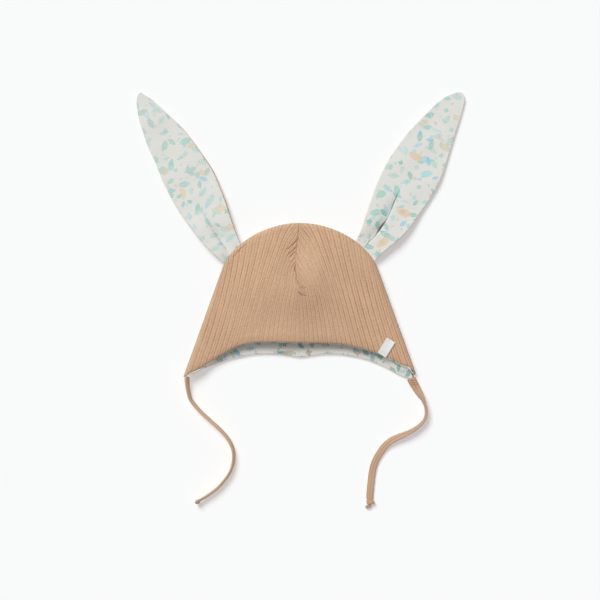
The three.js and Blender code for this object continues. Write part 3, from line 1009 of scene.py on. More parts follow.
@dataclass(frozen=True)
class RibKnit:
    """Ribbed cotton knit: raised wales, with painted shade in the grooves and a fainter painted line in
    each rib's middle.
    """

    name: str = "rib_knit"
    ridge: Colour = (0.622, 0.405, 0.262)
    # groove: painted shade colour of the rib grooves and of each rib's middle line
    groove: Colour = (0.39, 0.18, 0.085)
    # fold: painted shade colour at the bottom of the creases
    fold: Colour = (0.27, 0.105, 0.048)
    stitch_length: float = 1.25
    wales: int = 6
    relief: float = 0.00022
    wander: float = 0.1
    groove_width: float = 0.17
    half_line_width: float = 0.13
    loop_slant: float = 0.9
    crease_relief: float = 1.5
    creases: tuple[Crease, ...] = ()
    calms: tuple[Calm, ...] = ()

    def build(self) -> bpy.types.Material:
        """Make the material, which reads ribs across and millimetres along.

        Returns:
            The material.
        """
        tree = FinishTree(self.name, roughness=0.92, sheen=0.25, specular=0.15)
        across, along, _ = tree.pattern()
        place = tree.place()
        drift = (tree.noise(place, 110.0) - 0.5) * self.wander
        rib = (across + drift).rest()
        # from_groove, groove and half mark where painted shade darkens the grooves and each rib's middle;
        # strong, faint and streak make it uneven
        from_groove = rib.least(1 - rib)
        groove = 1 - from_groove.between(0.0, self.groove_width)
        half = 1 - (rib - 0.5).size().between(0.0, self.half_line_width)
        strong = tree.noise(place, 26.0, 2.0).between(0.3, 0.62) * 0.5 + 0.42
        faint = tree.noise(tree.vector(across * 0.9 + 7.0, along * 0.03), 1.0, 2.0).between(0.3, 0.6)
        streak = tree.noise(tree.vector(across * 1.7, along * 0.09), 1.0, 2.0) * 0.9 + 0.5
        dark = ((groove * strong + half * (faint * 0.5 + 0.16)) * streak).least(1.0)
        wale = (rib * self.wales).rest()
        lean = (wale - 0.5).size()
        loop = ((along / self.stitch_length + lean * self.loop_slant) * FULL_TURN).sine() * 0.5 + 0.5
        valley = lean.between(0.3, 0.5)
        knit = (loop * 0.7 + 0.3) * (1 - valley * 0.8)
        fibre = tree.noise(place, 2600.0, 3.0)
        patch = tree.noise(place, 34.0, 3.0)
        cloud = tree.noise(tree.vector(across * 0.8, along * 0.03), 1.0, 2.0)
        x, y = (part * (1 / MM) for part in tree.parts(place))
        # calm parts get fainter painted shade in their grooves
        for calm in self.calms:
            away = ((x - calm.x) / calm.radius_x).square() + ((y - calm.y) / calm.radius_y).square()
            dark = dark * (away.between(*CALM_EDGE) * (1 - calm.keep) + calm.keep)
        colour = tree.blend(dark, self.ridge, self.groove)
        relief = knit * 0.7 + fibre * 0.5
        # each crease gets painted shade along its bottom and sinks the bump
        for crease in self.creases:
            crease_shade = tree.crease(x, y, crease)
            colour = tree.blend(crease_shade, colour, self.fold)
            relief = relief - crease_shade * self.crease_relief
        fluff = tree.noise(place, 800.0, 2.0).between(0.28, 0.72)
        # knit adds a faint painted shade between the stitch loops; fibre, fluff, patch and cloud are
        # random tone
        tone = knit * 0.08 + fibre * 0.16 + fluff * 0.2 + patch * 0.12 + cloud * 0.14 + 0.65
        return tree.finish(tree.shade(colour, tone), relief, self.relief)


class Motif(Enum):
    """The forms that the printed jersey is scattered with."""

    LEAF = "leaf"
    SPRIG = "sprig"
    BLOSSOM = "blossom"
    BUD = "bud"


@dataclass(frozen=True)
class Scatter:
    """One layer of small motifs: one to a cell of the given size, for a share of the cells."""

    cell: float
    share: float
    half_length: float
    half_width: float
    motifs: tuple[Motif, ...]
    tints: tuple[Colour, ...]
    strength: float
    shift: float


MINT: Colour = (0.37, 0.62, 0.55)
TEAL: Colour = (0.24, 0.52, 0.46)
SAGE: Colour = (0.42, 0.6, 0.48)
AQUA: Colour = (0.42, 0.66, 0.68)
SKY: Colour = (0.28, 0.56, 0.74)
PEACH: Colour = (0.74, 0.55, 0.36)
SAND: Colour = (0.7, 0.6, 0.42)
CORAL: Colour = (0.78, 0.45, 0.34)
LINING_CREAM: Colour = (0.7, 0.685, 0.635)
BOTANICAL = (Motif.LEAF, Motif.SPRIG, Motif.LEAF, Motif.BLOSSOM, Motif.SPRIG)


@dataclass(frozen=True)
class PrintedJersey:
    """Cream jersey with a scattered print of leaves, sprigs and blossoms, darkened where its pieces carry
    painted shade.
    """

    name: str = "printed_jersey"
    cream: Colour = (0.735, 0.725, 0.68)
    shift: float = 0.0
    pitch: float = 0.9
    relief: float = 0.00012
    deepen: float = 1.0
    fade: float = 1.0
    leaflet_length: float = 2.1
    vein_half_width: float = 0.12
    stem_half_width: float = 0.22
    spread: float = 0.62
    raggedness: float = 1.5
    # shadow: how far the painted shade darkens the cloth at full strength
    shadow: float = 0.84
    layers: tuple[Scatter, ...] = (
        Scatter(7.0, 0.4, 2.0, 0.95, (Motif.LEAF, Motif.BUD), (AQUA, CORAL, SAGE, MINT), 0.8, 3.1),
        Scatter(10.0, 0.62, 4.2, 1.8, (Motif.SPRIG, Motif.LEAF), (AQUA, MINT, TEAL, SKY), 0.85, 71.9),
        Scatter(13.0, 0.92, 5.2, 2.6, BOTANICAL, (MINT, TEAL, AQUA, MINT), 1.0, 17.7),
        Scatter(27.0, 0.75, 6.8, 3.0, (Motif.LEAF, Motif.BLOSSOM), (PEACH, SKY, SAND, PEACH), 0.85, 41.3),
    )

    def outline(self, motif: Motif, x: Wire, y: Wire, layer: Scatter) -> Wire:
        """How far inside a motif each point lies.

        Args:
            motif: the form.
            x: millimetres along it from its middle.
            y: millimetres across it from its middle.
            layer: the layer that holds its size.

        Returns:
            Millimetres inside the form, negative outside it.
        """
        taper = 1 - (x / layer.half_length) * (x / layer.half_length)
        width = y.size()
        blade = taper * layer.half_width - width
        if motif is Motif.LEAF:
            return blade.least((width - self.vein_half_width) * 2.0 + 0.1)
        if motif is Motif.SPRIG:
            leaflet = ((x - width * 0.9) * (FULL_TURN / self.leaflet_length)).sine() * 0.5 + 0.1
            stem = (self.stem_half_width - width).least(taper)
            return leaflet.least(blade).most(stem)
        tree = x.tree
        reach = tree.maths("SQRT", x * x + y * y)
        if motif is Motif.BUD:
            return layer.half_width - reach
        turn = tree.maths("ARCTAN2", y, x)
        petals = ((turn * 2.0).sine().size() * 0.5 + 0.5) * layer.half_width
        return (petals - reach).least(reach - layer.half_width * 0.16)

    def scatter(
        self, tree: FinishTree, across: Wire, along: Wire, layer: Scatter
    ) -> tuple[Wire, Socket]:
        """Lay one layer of motifs.

        Args:
            tree: the material's nodes.
            across: millimetres across the cloth.
            along: millimetres along the cloth.
            layer: the layer.

        Returns:
            Where its motifs are, from 0 to 1, and their colour.
        """
        spot = tree.vector(across + (layer.shift + self.shift), along + layer.shift)
        cells = tree.nodes.new("ShaderNodeTexVoronoi")
        cells.voronoi_dimensions = "2D"
        cells.inputs["Scale"].default_value = 1 / layer.cell
        cells.inputs["Randomness"].default_value = self.spread
        tree.join(spot, cells.inputs["Vector"])
        offset = tree.nodes.new("ShaderNodeVectorMath")
        offset.operation = "SUBTRACT"
        tree.join(spot, offset.inputs[0])
        tree.join(cells.outputs["Position"], offset.inputs[1])
        dice = tree.nodes.new("ShaderNodeSeparateColor")
        tree.join(cells.outputs["Color"], dice.inputs[0])
        red, green, blue = (Wire(tree, socket) for socket in dice.outputs[:3])
        turned = tree.nodes.new("ShaderNodeVectorRotate")
        turned.rotation_type = "Z_AXIS"
        tree.join(offset.outputs[0], turned.inputs["Vector"])
        tree.feed(turned.inputs["Angle"], red * FULL_TURN)
        x, y = tree.parts(turned.outputs[0])
        grow = (green * 7.3).rest() * 0.5 + 0.72
        x, y = x / grow, y / grow
        count = len(layer.motifs)
        pick = (green * 3.7).rest()
        inside = self.outline(layer.motifs[0], x, y, layer)
        for number, motif in enumerate(layer.motifs[1:], start=1):
            later = pick.above(number / count)
            inside = inside + (self.outline(motif, x, y, layer) - inside) * later
        there = 1 - blue.above(layer.share)
        tints = tree.nodes.new("ShaderNodeValToRGB")
        tints.color_ramp.interpolation = "CONSTANT"
        stops = tints.color_ramp.elements
        while len(stops) < len(layer.tints):
            stops.new(0.5)
        for number, tint in enumerate(layer.tints):
            stops[number].position = number / len(layer.tints)
            stops[number].color = (*(part * self.deepen for part in tint), 1.0)
        tree.feed(tints.inputs[0], (red * 9.1).rest())
        return inside.between(-0.36, 0.4) * there * (layer.strength * self.fade), tints.outputs[0]

    def build(self) -> bpy.types.Material:
        """Make the material, which reads millimetres across and along the cloth.

        Returns:
            The material.
        """
        tree = FinishTree(self.name, roughness=0.88, sheen=0.15, specular=0.2)
        across, along, both = tree.pattern()
        place = tree.place()
        heather = tree.noise(both, 1.5, 2.0)
        wash = tree.noise(both, 0.45, 2.0)
        base = tree.blend(heather.between(0.35, 0.75), self.cream, tuple(c * 0.93 for c in self.cream))
        ragged = (tree.noise(both, 1.0, 1.0) - 0.5) * self.raggedness
        for layer in self.layers:
            mask, tint = self.scatter(tree, across + ragged, along + ragged, layer)
            base = tree.blend(mask * (wash * 0.5 + 0.72), base, tint)
        wave = FULL_TURN / self.pitch
        loop = (along * wave).sine() * (across * wave).sine()
        fibre = tree.noise(place, 2400.0, 3.0)
        fleck = tree.noise(place, 850.0, 2.0)
        # painted shade from the cloth's attribute; loop adds a faint painted shade of the stitches, while
        # fibre and fleck are random tone
        painted_shade_factor = 1 - tree.painted_shade() * self.shadow
        tone = (fibre * 0.08 + fleck * 0.09 + loop * 0.02 + 0.9) * painted_shade_factor
        return tree.finish(tree.shade(base, tone), loop * 0.4 + fibre * 0.6, self.relief)


@dataclass(frozen=True)
class WovenLabel:
    """White satin-woven ribbon, plain, with its fine crosswise threads."""

    name: str = "woven_label"
    white: Colour = (0.79, 0.79, 0.79)
    pitch: float = 0.42
    relief: float = 0.00005

    def build(self) -> bpy.types.Material:
        """Make the material, which reads millimetres across and along the ribbon.

        Returns:
            The material.
        """
        tree = FinishTree(self.name, roughness=0.6, sheen=0.1, specular=0.35)
        across, along, both = tree.pattern()
        thread = (along * (FULL_TURN / self.pitch)).sine() * 0.5 + 0.5
        warp = (across * (FULL_TURN / (self.pitch * 0.7))).sine() * 0.5 + 0.5
        weave = thread * 0.7 + warp * 0.3
        patch = tree.noise(both, 0.7, 2.0)
        # a faint painted shade between the threads of the weave
        colour = tree.blend(weave, tuple(c * 0.94 for c in self.white), self.white)
        return tree.finish(tree.shade(colour, patch * 0.06 + 0.96), weave, self.relief)


@dataclass(frozen=True)
class TieRib:
    """The ribbed knit of the ties, with painted shade in the lines along each and in the folds across
    where it is sewn on.
    """

    name: str = "tie_rib"
    face: Colour = (0.6, 0.385, 0.25)
    # line: painted shade colour of the lines along the strap and of the folds across it
    line: Colour = (0.36, 0.18, 0.095)
    lines: int = 8
    stitch_length: float = 1.1
    relief: float = 0.00018
    folds: tuple[float, ...] = ()
    bow: float = 1.2
    wales: int = 3
    line_width: float = 0.2
    loop_slant: float = 0.9

    def build(self) -> bpy.types.Material:
        """Make the material, which reads the share round the strap and millimetres along it.

        Returns:
            The material.
        """
        tree = FinishTree(self.name, roughness=0.92, sheen=0.25, specular=0.15)
        across, along, _ = tree.pattern()
        place = tree.place()
        lane = (across * self.lines).rest()
        uneven = tree.noise(tree.vector(across * 6.0, along * 0.05), 1.0, 1.0).between(0.3, 0.7)
        # painted shade along the lines of the strap
        dark = (1 - lane.least(1 - lane).between(0.0, self.line_width)) * (uneven * 0.45 + 0.35)
        lean = ((lane * self.wales).rest() - 0.5).size()
        loop = ((along / self.stitch_length + lean * self.loop_slant) * FULL_TURN).sine() * 0.5 + 0.5
        fibre = tree.noise(place, 2600.0, 3.0)
        patch = tree.noise(place, 60.0, 2.0)
        bowed = along + (across * (2 * FULL_TURN)).sine() * self.bow
        # painted shade in the folds across the sewn-on end
        for fold in self.folds:
            dark = dark.most((1 - (bowed - fold).size().between(0.1, 0.65)) * 0.8)
        colour = tree.blend(dark, self.face, self.line)
        # loop adds a faint painted shade between the stitch loops; fibre and patch are random tone
        tone = loop * 0.1 + fibre * 0.16 + patch * 0.16 + 0.78
        return tree.finish(tree.shade(colour, tone), loop * 0.6 + fibre * 0.5 - dark * 0.8, self.relief)


@dataclass(frozen=True)
class PaleFloor:
    """The plain pale surface that the hat lies on."""

    name: str = "pale_floor"
    white: Colour = (0.9, 0.9, 0.9)
    relief: float = 0.00001

    def build(self) -> bpy.types.Material:
        """Make the material.

        Returns:
            The material.
        """
        tree = FinishTree(self.name, roughness=0.95, specular=0.0)
        grain = tree.noise(tree.place(), 40.0, 2.0)
        colour = tree.blend(grain, tuple(c * 0.997 for c in self.white), self.white)
        return tree.finish(colour, grain, self.relief)


@dataclass(frozen=True)
class Finishes:
    """The hat's materials, each made once."""

    front_knit: bpy.types.Material
    knit: bpy.types.Material
    left_print: bpy.types.Material
    right_print: bpy.types.Material
    lining_print: bpy.types.Material
    label: bpy.types.Material
    left_tie: bpy.types.Material
    right_tie: bpy.types.Material
    tie_end: bpy.types.Material

    @staticmethod
    def make() -> "Finishes":
        """Make them all.

        Returns:
            The finishes.
        """
        lining = PrintedJersey("printed_jersey_lining", LINING_CREAM, shift=311.0, deepen=0.66)
        return Finishes(
            front_knit=RibKnit("rib_knit_front", creases=CREASES, calms=CALMS).build(),
            knit=RibKnit().build(),
            left_print=PrintedJersey("printed_jersey_left_ear", shift=5.0, fade=0.78).build(),
            right_print=PrintedJersey("printed_jersey_right_ear", shift=143.0, fade=0.92).build(),
            lining_print=lining.build(),
            label=WovenLabel().build(),
            # The left tie's face is painted lighter, as it stands on edge and catches less light.
            left_tie=TieRib("tie_rib_left_painted_light", face=(0.7, 0.455, 0.29)).build(),
            right_tie=TieRib("tie_rib_right", face=(0.545, 0.355, 0.24), folds=(2.4, 4.6, 7.0)).build(),
            tie_end=TieRib("tie_rib_end", face=(0.56, 0.36, 0.24), lines=14).build(),
        )


@dataclass(frozen=True)
class Sun:
    """A lamp far away: where it stands, how wide it looks in degrees, its strength and its tint."""

    name: str
    toward: tuple[float, float, float]
    width: float
    strength: float
    tint: Colour

    def hang(self) -> None:
        """Put the lamp in the scene."""
        data = bpy.data.lights.new(self.name, "SUN")
        data.angle = math.radians(self.width)
        data.energy = self.strength
        data.color = self.tint
        lamp = bpy.data.objects.new(self.name, data)
        toward = Vector(self.toward).normalized()
        lamp.location = toward * 3.0
        lamp.rotation_euler = toward.to_track_quat("Z", "Y").to_euler()
        bpy.context.scene.collection.objects.link(lamp)


@dataclass(frozen=True)
class Studio:
    """Pale floor, a soft key light, a narrow light overhead, faint light all round, and the camera."""

    camera_height: float = 1.346
    lens: float = 85.0
    sensor: float = 36.0
    floor_span: float = 60.0
    floor_gap: float = 0.0003
    nearest: float = 0.05
    farthest: float = 20.0
    key: Sun = Sun("key", (-0.41, 0.6, 0.69), 28.0, 2.15, (0.915, 1.0, 1.0))
    overhead: Sun = Sun("overhead", (0.0, 0.0, 1.0), 4.0, 1.42, (1.045, 1.0, 1.0))
    around: Colour = (0.15, 0.14, 0.14)

    def camera(self) -> None:
        """Hang the camera straight above the hat, looking down, with +Y up in the picture."""
        data = bpy.data.cameras.new("overhead")
        data.lens = self.lens
        data.sensor_width = self.sensor
        data.clip_start = self.nearest
        data.clip_end = self.farthest
        eye = bpy.data.objects.new("overhead", data)
        eye.location = (0, 0, self.camera_height)
        bpy.context.scene.collection.objects.link(eye)
        bpy.context.scene.camera = eye

    def lights(self) -> None:
        """Set the key light, the overhead light and the faint light all round."""
        self.key.hang()
        self.overhead.hang()
        world = bpy.data.worlds.new("even_light")
        world.use_nodes = True
        sky = world.node_tree.nodes["Background"]
        sky.inputs["Color"].default_value = (*self.around, 1.0)
        sky.inputs["Strength"].default_value = 1.0
        bpy.context.scene.world = world
        bpy.context.scene.view_settings.view_transform = "Standard"

    def floor(self) -> bpy.types.Object:
        """Lay the floor under the hat.

        Returns:
            The floor.
        """
        shape = bmesh.new()
        bmesh.ops.create_grid(shape, x_segments=8, y_segments=8, size=self.floor_span / 2 / MM)
        bmesh.ops.translate(shape, vec=(0, 0, -self.floor_gap / MM), verts=shape.verts)
        floor = finished_object(shape, "floor", PaleFloor().build())
        floor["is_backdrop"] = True
        return floor


TIP_STATIONS = (0, 0.25, 0.5, 0.62, 0.8, 1)


@dataclass(frozen=True)
class TieRoute:
    """Where one tie runs, in metres, and how its end is folded, in millimetres.

    Each stop holds how far the tie has gone in X and Y from its start, and the share of the way
    that it has sunk from the flap's tip down to the floor. Turns and widths hold a share of the
    way with the degrees from lying flat or the share of the usual width.
    """

    name: str
    side: int
    inset: float
    drop: float
    lift: float
    stops: tuple[tuple[float, float, float], ...]
    turns: tuple[tuple[float, float], ...]
    widths: tuple[tuple[float, float], ...]
    tip_length: float
    tip_swell: tuple[float, ...]
    rolls: tuple["EndRoll", ...]


@dataclass(frozen=True)
class EndRoll:
    """A roll of cloth across a tie's end, in millimetres ahead of the strap and beside it."""

    ahead: float
    aside: float
    half: float
    width: float
    height: float
    slant: float


LEFT_TIE = TieRoute(
    name="left",
    side=-1,
    inset=0.0029,
    drop=0.0005,
    lift=0.0026,
    stops=(
        (0, 0, 0), (0.0001, -0.0025, 0), (0.001, -0.0119, 0.5), (0.0034, -0.0217, 0.88),
        (0.0069, -0.0266, 1), (0.0146, -0.035, 1), (0.0224, -0.0421, 1), (0.03, -0.049, 1),
        (0.0358, -0.0551, 1), (0.0408, -0.0624, 1), (0.0437, -0.0701, 1), (0.0442, -0.0779, 1),
        (0.0427, -0.0857, 1), (0.0398, -0.0924, 1), (0.0349, -0.0992, 1), (0.0292, -0.1055, 1),
        (0.0224, -0.1109, 1), (0.0146, -0.1159, 1),
    ),
    turns=((0, 58), (0.08, 64), (0.16, 71), (0.6, 72), (1, 76)),
    widths=((0, 1), (1, 1)),
    tip_length=7.6,
    tip_swell=(0.7, 0.66, 0.7, 0.95, 1.0, 0.8),
    rolls=(),
)
RIGHT_TIE = TieRoute(
    name="right",
    side=1,
    inset=0.0047,
    drop=0.0001,
    lift=0.0014,
    stops=(
        (0, 0, 0), (0.0009, -0.002, 0), (0.0064, -0.0117, 0.7), (0.011, -0.0197, 1),
        (0.0139, -0.0278, 1), (0.0142, -0.0347, 1), (0.0121, -0.0405, 1), (0.0064, -0.0463, 1),
        (-0.0017, -0.0514, 1), (-0.0109, -0.0555, 1), (-0.0178, -0.0589, 1), (-0.0247, -0.0647, 1),
        (-0.0304, -0.0727, 1), (-0.0345, -0.0807, 1), (-0.0368, -0.09, 1), (-0.0379, -0.0992, 1),
        (-0.0388, -0.1084, 1), (-0.0391, -0.1156, 1),
    ),
    turns=((0, 0), (0.09, 5), (0.16, 60), (0.23, 79), (0.38, 72), (0.52, 40), (0.64, 8), (1, 0)),
    widths=((0, 1.3), (0.05, 1.2), (0.12, 1.04), (0.2, 1), (1, 1)),
    tip_length=3.0,
    tip_swell=(0.8, 0.82, 0.84, 0.84, 0.8, 0.7),
    rolls=(
        EndRoll(2.6, -0.9, 3.9, 3.8, 4.0, 10.0),
        EndRoll(6.3, 1.1, 3.0, 3.2, 2.9, 20.0),
    ),
)


@dataclass(frozen=True)
class Tie:
    """One of the hat's two ties: a soft flat strap with its end folded over and stitched."""

    plan: HatPlan
    route: TieRoute
    width: float = 6.6
    thickness: float = 2.0
    tip_widen: float = 0.8
    tip_thicken: float = 1.2
    rest_gap: float = 0.15
    lining_roll: float = 0.8
    rings: int = 190
    round_it: int = 28
    corner: float = 2.8
    end_rings: int = 5
    start_thicken: float = 1.25
    tip_overlap: float = 0.9
    tip_rings: int = 14
    roll_taper: float = 0.18

    def half_height(self, tilt: Number, width: Number, thickness: Number) -> Number:
        """Half the height of the strap's section as it lies at a tilt in degrees."""
        angle = np.radians(tilt)
        return (width * np.sin(angle) + thickness * np.cos(angle)) / 2

    def centreline(self) -> Array:
        """Find the strap's middle line.

        Returns:
            Its points from the flap's tip to its end, in millimetres.
        """
        tie = self.route
        x = tie.side * (self.plan.half_span - tie.inset / MM)
        level = min(
            float(self.plan.hem_at(FRONT_HEM, np.array(x))) - self.lining_roll,
            float(self.plan.hem_at(BACK_HEM, np.array(x))),
        )
        y = level - self.plan.joint_gap - tie.drop / MM
        stops = np.array(tie.stops) / MM
        line = np.stack([x + stops[:, 0], y + stops[:, 1], stops[:, 2] * MM], axis=-1)
        run = through_stops(line, self.rings)
        return self.settled(run)

    def settled(self, run: Array) -> Array:
        """Give a line its height: lifted at the flap, then resting on the floor.

        Args:
            run: points whose third coordinate is the share that they have sunk.

        Returns:
            The points with their height.
        """
        share = arc_shares(run)
        tilt = self.tilts(share)
        width = self.width * self.widths(share)
        rest = self.rest_gap + self.half_height(tilt, width, self.thickness)
        line = run.copy()
        line[:, 2] = rest + self.route.lift / MM * (1 - np.clip(run[:, 2], 0, 1))
        return line

    def tilts(self, share: Array) -> Array:
        """How far the strap is turned from lying flat, in degrees."""
        keys, values = zip(*self.route.turns)
        return SmoothTable(keys, values).at(share)

    def widths(self, share: Array) -> Array:
        """The strap's width as a share of its usual one."""
        keys, values = zip(*self.route.widths)
        return SmoothTable(keys, values).at(share)

    def strap(self, finish: bpy.types.Material, end_finish: bpy.types.Material) -> bpy.types.Object:
        """Args:
            finish: the strap's material.
            end_finish: the material of the cloth rolled up at its end.

        Returns:
            The strap.
        """
        line = self.centreline()
        share = arc_shares(line)
        piece, path = swept_strap(
            f"{self.route.name}_tie_strap",
            line,
            self.width * self.widths(share),
            np.full(len(line), self.thickness) * mix(self.start_thicken, 1.0, soft_step(0, 0.1, share)),
            -self.route.side * self.tilts(share),
            finish,
            self,
        )
        ends = self.tip(line, end_finish)
        for made in (piece, *ends):
            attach(made, BODY)
        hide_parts(f"{self.route.name}_tie")
        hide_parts(f"{self.route.name}_tie_tip")
        self.width * MM
        return piece

    def tip(self, line: Array, finish: bpy.types.Material) -> list[bpy.types.Object]:
        """Make the end that is folded over and stitched down.

        Args:
            line: the strap's middle line.
            finish: the end's material.

        Returns:
            The folded end and the rolls across it.
        """
        onward = line[-1] - line[-4]
        onward[2] = 0
        onward /= np.linalg.norm(onward)
        aside = np.cross(onward, [0, 0, 1.0])
        tilt = float(self.tilts(np.array([1.0]))[0])
        width = self.width + self.tip_widen
        thickness = self.thickness + self.tip_thicken
        far = self.plan.joint_gap + self.route.tip_length
        runs = np.linspace(-self.tip_overlap, far, self.tip_rings)
        points = line[-1] + runs[:, None] * onward
        points[:, 2] = self.rest_gap + float(self.half_height(tilt, width, thickness))
        share = np.linspace(0, 1, len(runs))
        swell = SmoothTable(TIP_STATIONS, self.route.tip_swell).at(share)
        turned = np.full(len(runs), -self.route.side * tilt)
        name = f"{self.route.name}_tie_fold"
        fold, _ = swept_strap(name, points, width * swell, thickness * swell, turned, finish, self)
        ends = [fold]
        for number, roll in enumerate(self.route.rolls, start=1):
            angle = math.radians(roll.slant)
            run = aside * math.cos(angle) + onward * math.sin(angle)
            middle = line[-1] + onward * roll.ahead + aside * roll.aside
            steps = np.linspace(-1, 1, self.tip_rings)
            points = middle + steps[:, None] * roll.half * run
            points[:, 2] = self.rest_gap + roll.height / 2
            shrink = 1 - self.roll_taper * steps**2
            wide, high = roll.width * shrink, roll.height * shrink
            level = np.zeros(len(steps))
            made, _ = swept_strap(f"{name}_roll_{number}", points, wide, high, level, finish, self)
            ends.append(made)
        return ends


CURVE_STEPS = 24
LEAST_ROOT = 1e-4


def through_stops(stops: Array, count: int) -> Array:
    """A centripetal curve through stops, at even steps of its own length.

    Args:
        stops: the points that it passes.
        count: how many points to give back.

    Returns:
        Points along the curve.
    """
    ends = [2 * stops[0] - stops[1], *stops, 2 * stops[-1] - stops[-2]]
    fine = []
    for a, b, c, d in zip(ends, ends[1:], ends[2:], ends[3:]):
        gaps = [max(np.linalg.norm(q - p) ** 0.5, LEAST_ROOT) for p, q in ((a, b), (b, c), (c, d))]
        first = ((b - a) / gaps[0] - (c - a) / (gaps[0] + gaps[1]) + (c - b) / gaps[1]) * gaps[1]
        last = ((c - b) / gaps[1] - (d - b) / (gaps[1] + gaps[2]) + (d - c) / gaps[2]) * gaps[1]
        t = np.linspace(0, 1, CURVE_STEPS, endpoint=False)[:, None]
        cubic = (2 * b - 2 * c + first + last) * t**3 + (3 * c - 3 * b - 2 * first - last) * t**2
        fine.append(cubic + first * t + b)
    line = np.vstack([*fine, stops[-1:]])
    share = arc_shares(line)
    even = np.linspace(0, 1, count)
    return np.stack([np.interp(even, share, line[:, i]) for i in range(3)], axis=-1)


def arc_mm(line: Array) -> Array:
    """How far along a line each of its points lies."""
    steps = np.linalg.norm(np.diff(line, axis=0), axis=1)
    return np.concatenate([[0], np.cumsum(steps)])


def arc_shares(line: Array) -> Array:
    """The share of a line's length, over the plan, at which each of its points lies.

    Args:
        line: the line's points.

    Returns:
        A share for each point, from 0 to 1.
    """
    run = arc_mm(line[:, :2])
    return run / run[-1]


def swept_strap(
    name: str,
    line: Array,
    width: Array,
    thickness: Array,
    tilt: Array,
    finish: bpy.types.Material,
    tie: Tie,
) -> tuple[bpy.types.Object, Array]:
    """Sweep a strap's rounded section along a line and close its ends.

    Args:
        name: the object's name.
        line: the middle line, in millimetres.
        width: of the section at each point.
        thickness: of the section at each point.
        tilt: of the section at each point, in degrees from lying flat.
        finish: the strap's material.
        tie: holds how finely it is made.

    Returns:
        The object, and the centres of its rings in metres.
    """
    onward = np.gradient(line, axis=0)
    onward /= np.linalg.norm(onward, axis=1, keepdims=True)
    flat = np.cross(onward, [0, 0, 1.0])
    flat /= np.linalg.norm(flat, axis=1, keepdims=True)
    up = np.cross(flat, onward)
    angle = np.radians(tilt)[:, None]
    wide = flat * np.cos(angle) + up * np.sin(angle)
    thick = up * np.cos(angle) - flat * np.sin(angle)
    shrink = np.sin(np.linspace(0, np.pi / 2, tie.end_rings + 1))[:-1]
    depth = 1 - np.cos(np.linspace(0, np.pi / 2, tie.end_rings + 1))[:-1]
    head = line[0] + onward[0] * (thickness[0] / 2) * depth[:, None]
    tail = line[-1] - onward[-1] * (thickness[-1] / 2) * depth[::-1, None]
    gone = arc_mm(line)
    inner = (gone > thickness[0] / 2) & (gone[-1] - gone > thickness[-1] / 2)
    centres = np.vstack([head, line[inner], tail])
    scale = np.concatenate([shrink, np.ones(inner.sum()), shrink[::-1]])
    last = np.full(len(shrink), len(line) - 1)
    pick = np.concatenate([np.zeros(len(shrink), int), np.flatnonzero(inner), last])
    turn = np.linspace(0, FULL_TURN, tie.round_it + 1)
    power = 2 / tie.corner
    cosine = np.sign(np.cos(turn)) * np.abs(np.cos(turn)) ** power
    sine = np.sign(np.sin(turn)) * np.abs(np.sin(turn)) ** power
    w = (width[pick] / 2 * scale)[:, None, None] * cosine[None, :, None]
    h = (thickness[pick] / 2 * scale)[:, None, None] * sine[None, :, None]
    points = centres[:, None, :] + w * wide[pick][:, None, :] + h * thick[pick][:, None, :]
    run = arc_mm(centres)
    share = np.broadcast_to(turn / FULL_TURN, (len(centres), len(turn)))
    pattern = np.stack([share, np.broadcast_to(run[:, None], share.shape)], axis=-1)
    shape = bmesh.new()
    add_grid(shape, points, pattern, turned=False)
    bmesh.ops.remove_doubles(shape, verts=shape.verts, dist=MERGE_GAP)
    bmesh.ops.dissolve_degenerate(shape, dist=MERGE_GAP / 10, edges=shape.edges)
    bmesh.ops.recalc_face_normals(shape, faces=shape.faces)
    return finished_object(shape, name, finish), centres * MM


def declare_cloth(
    piece: bpy.types.Object,
    node: str,
    flat: tuple[float, float],
    cut_share: float | None = None,
) -> None:
    """Tie a cloth to the body, hide the solid that it replaces and log how many faces it has.

    Args:
        piece: the cloth.
        node: the solid that it replaces.
        flat: width and length of its cut, in metres; not used beyond an area that nothing reads.
        cut_share: the share of that width times length that it fills, where it isn't all of it; not used
            beyond that area.
    """
    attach(piece, BODY)
    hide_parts(node)
    area = None if cut_share is None else cut_share * flat[0] * flat[1]
    LOG.info("%s: %d faces", piece.name, len(piece.data.polygons))


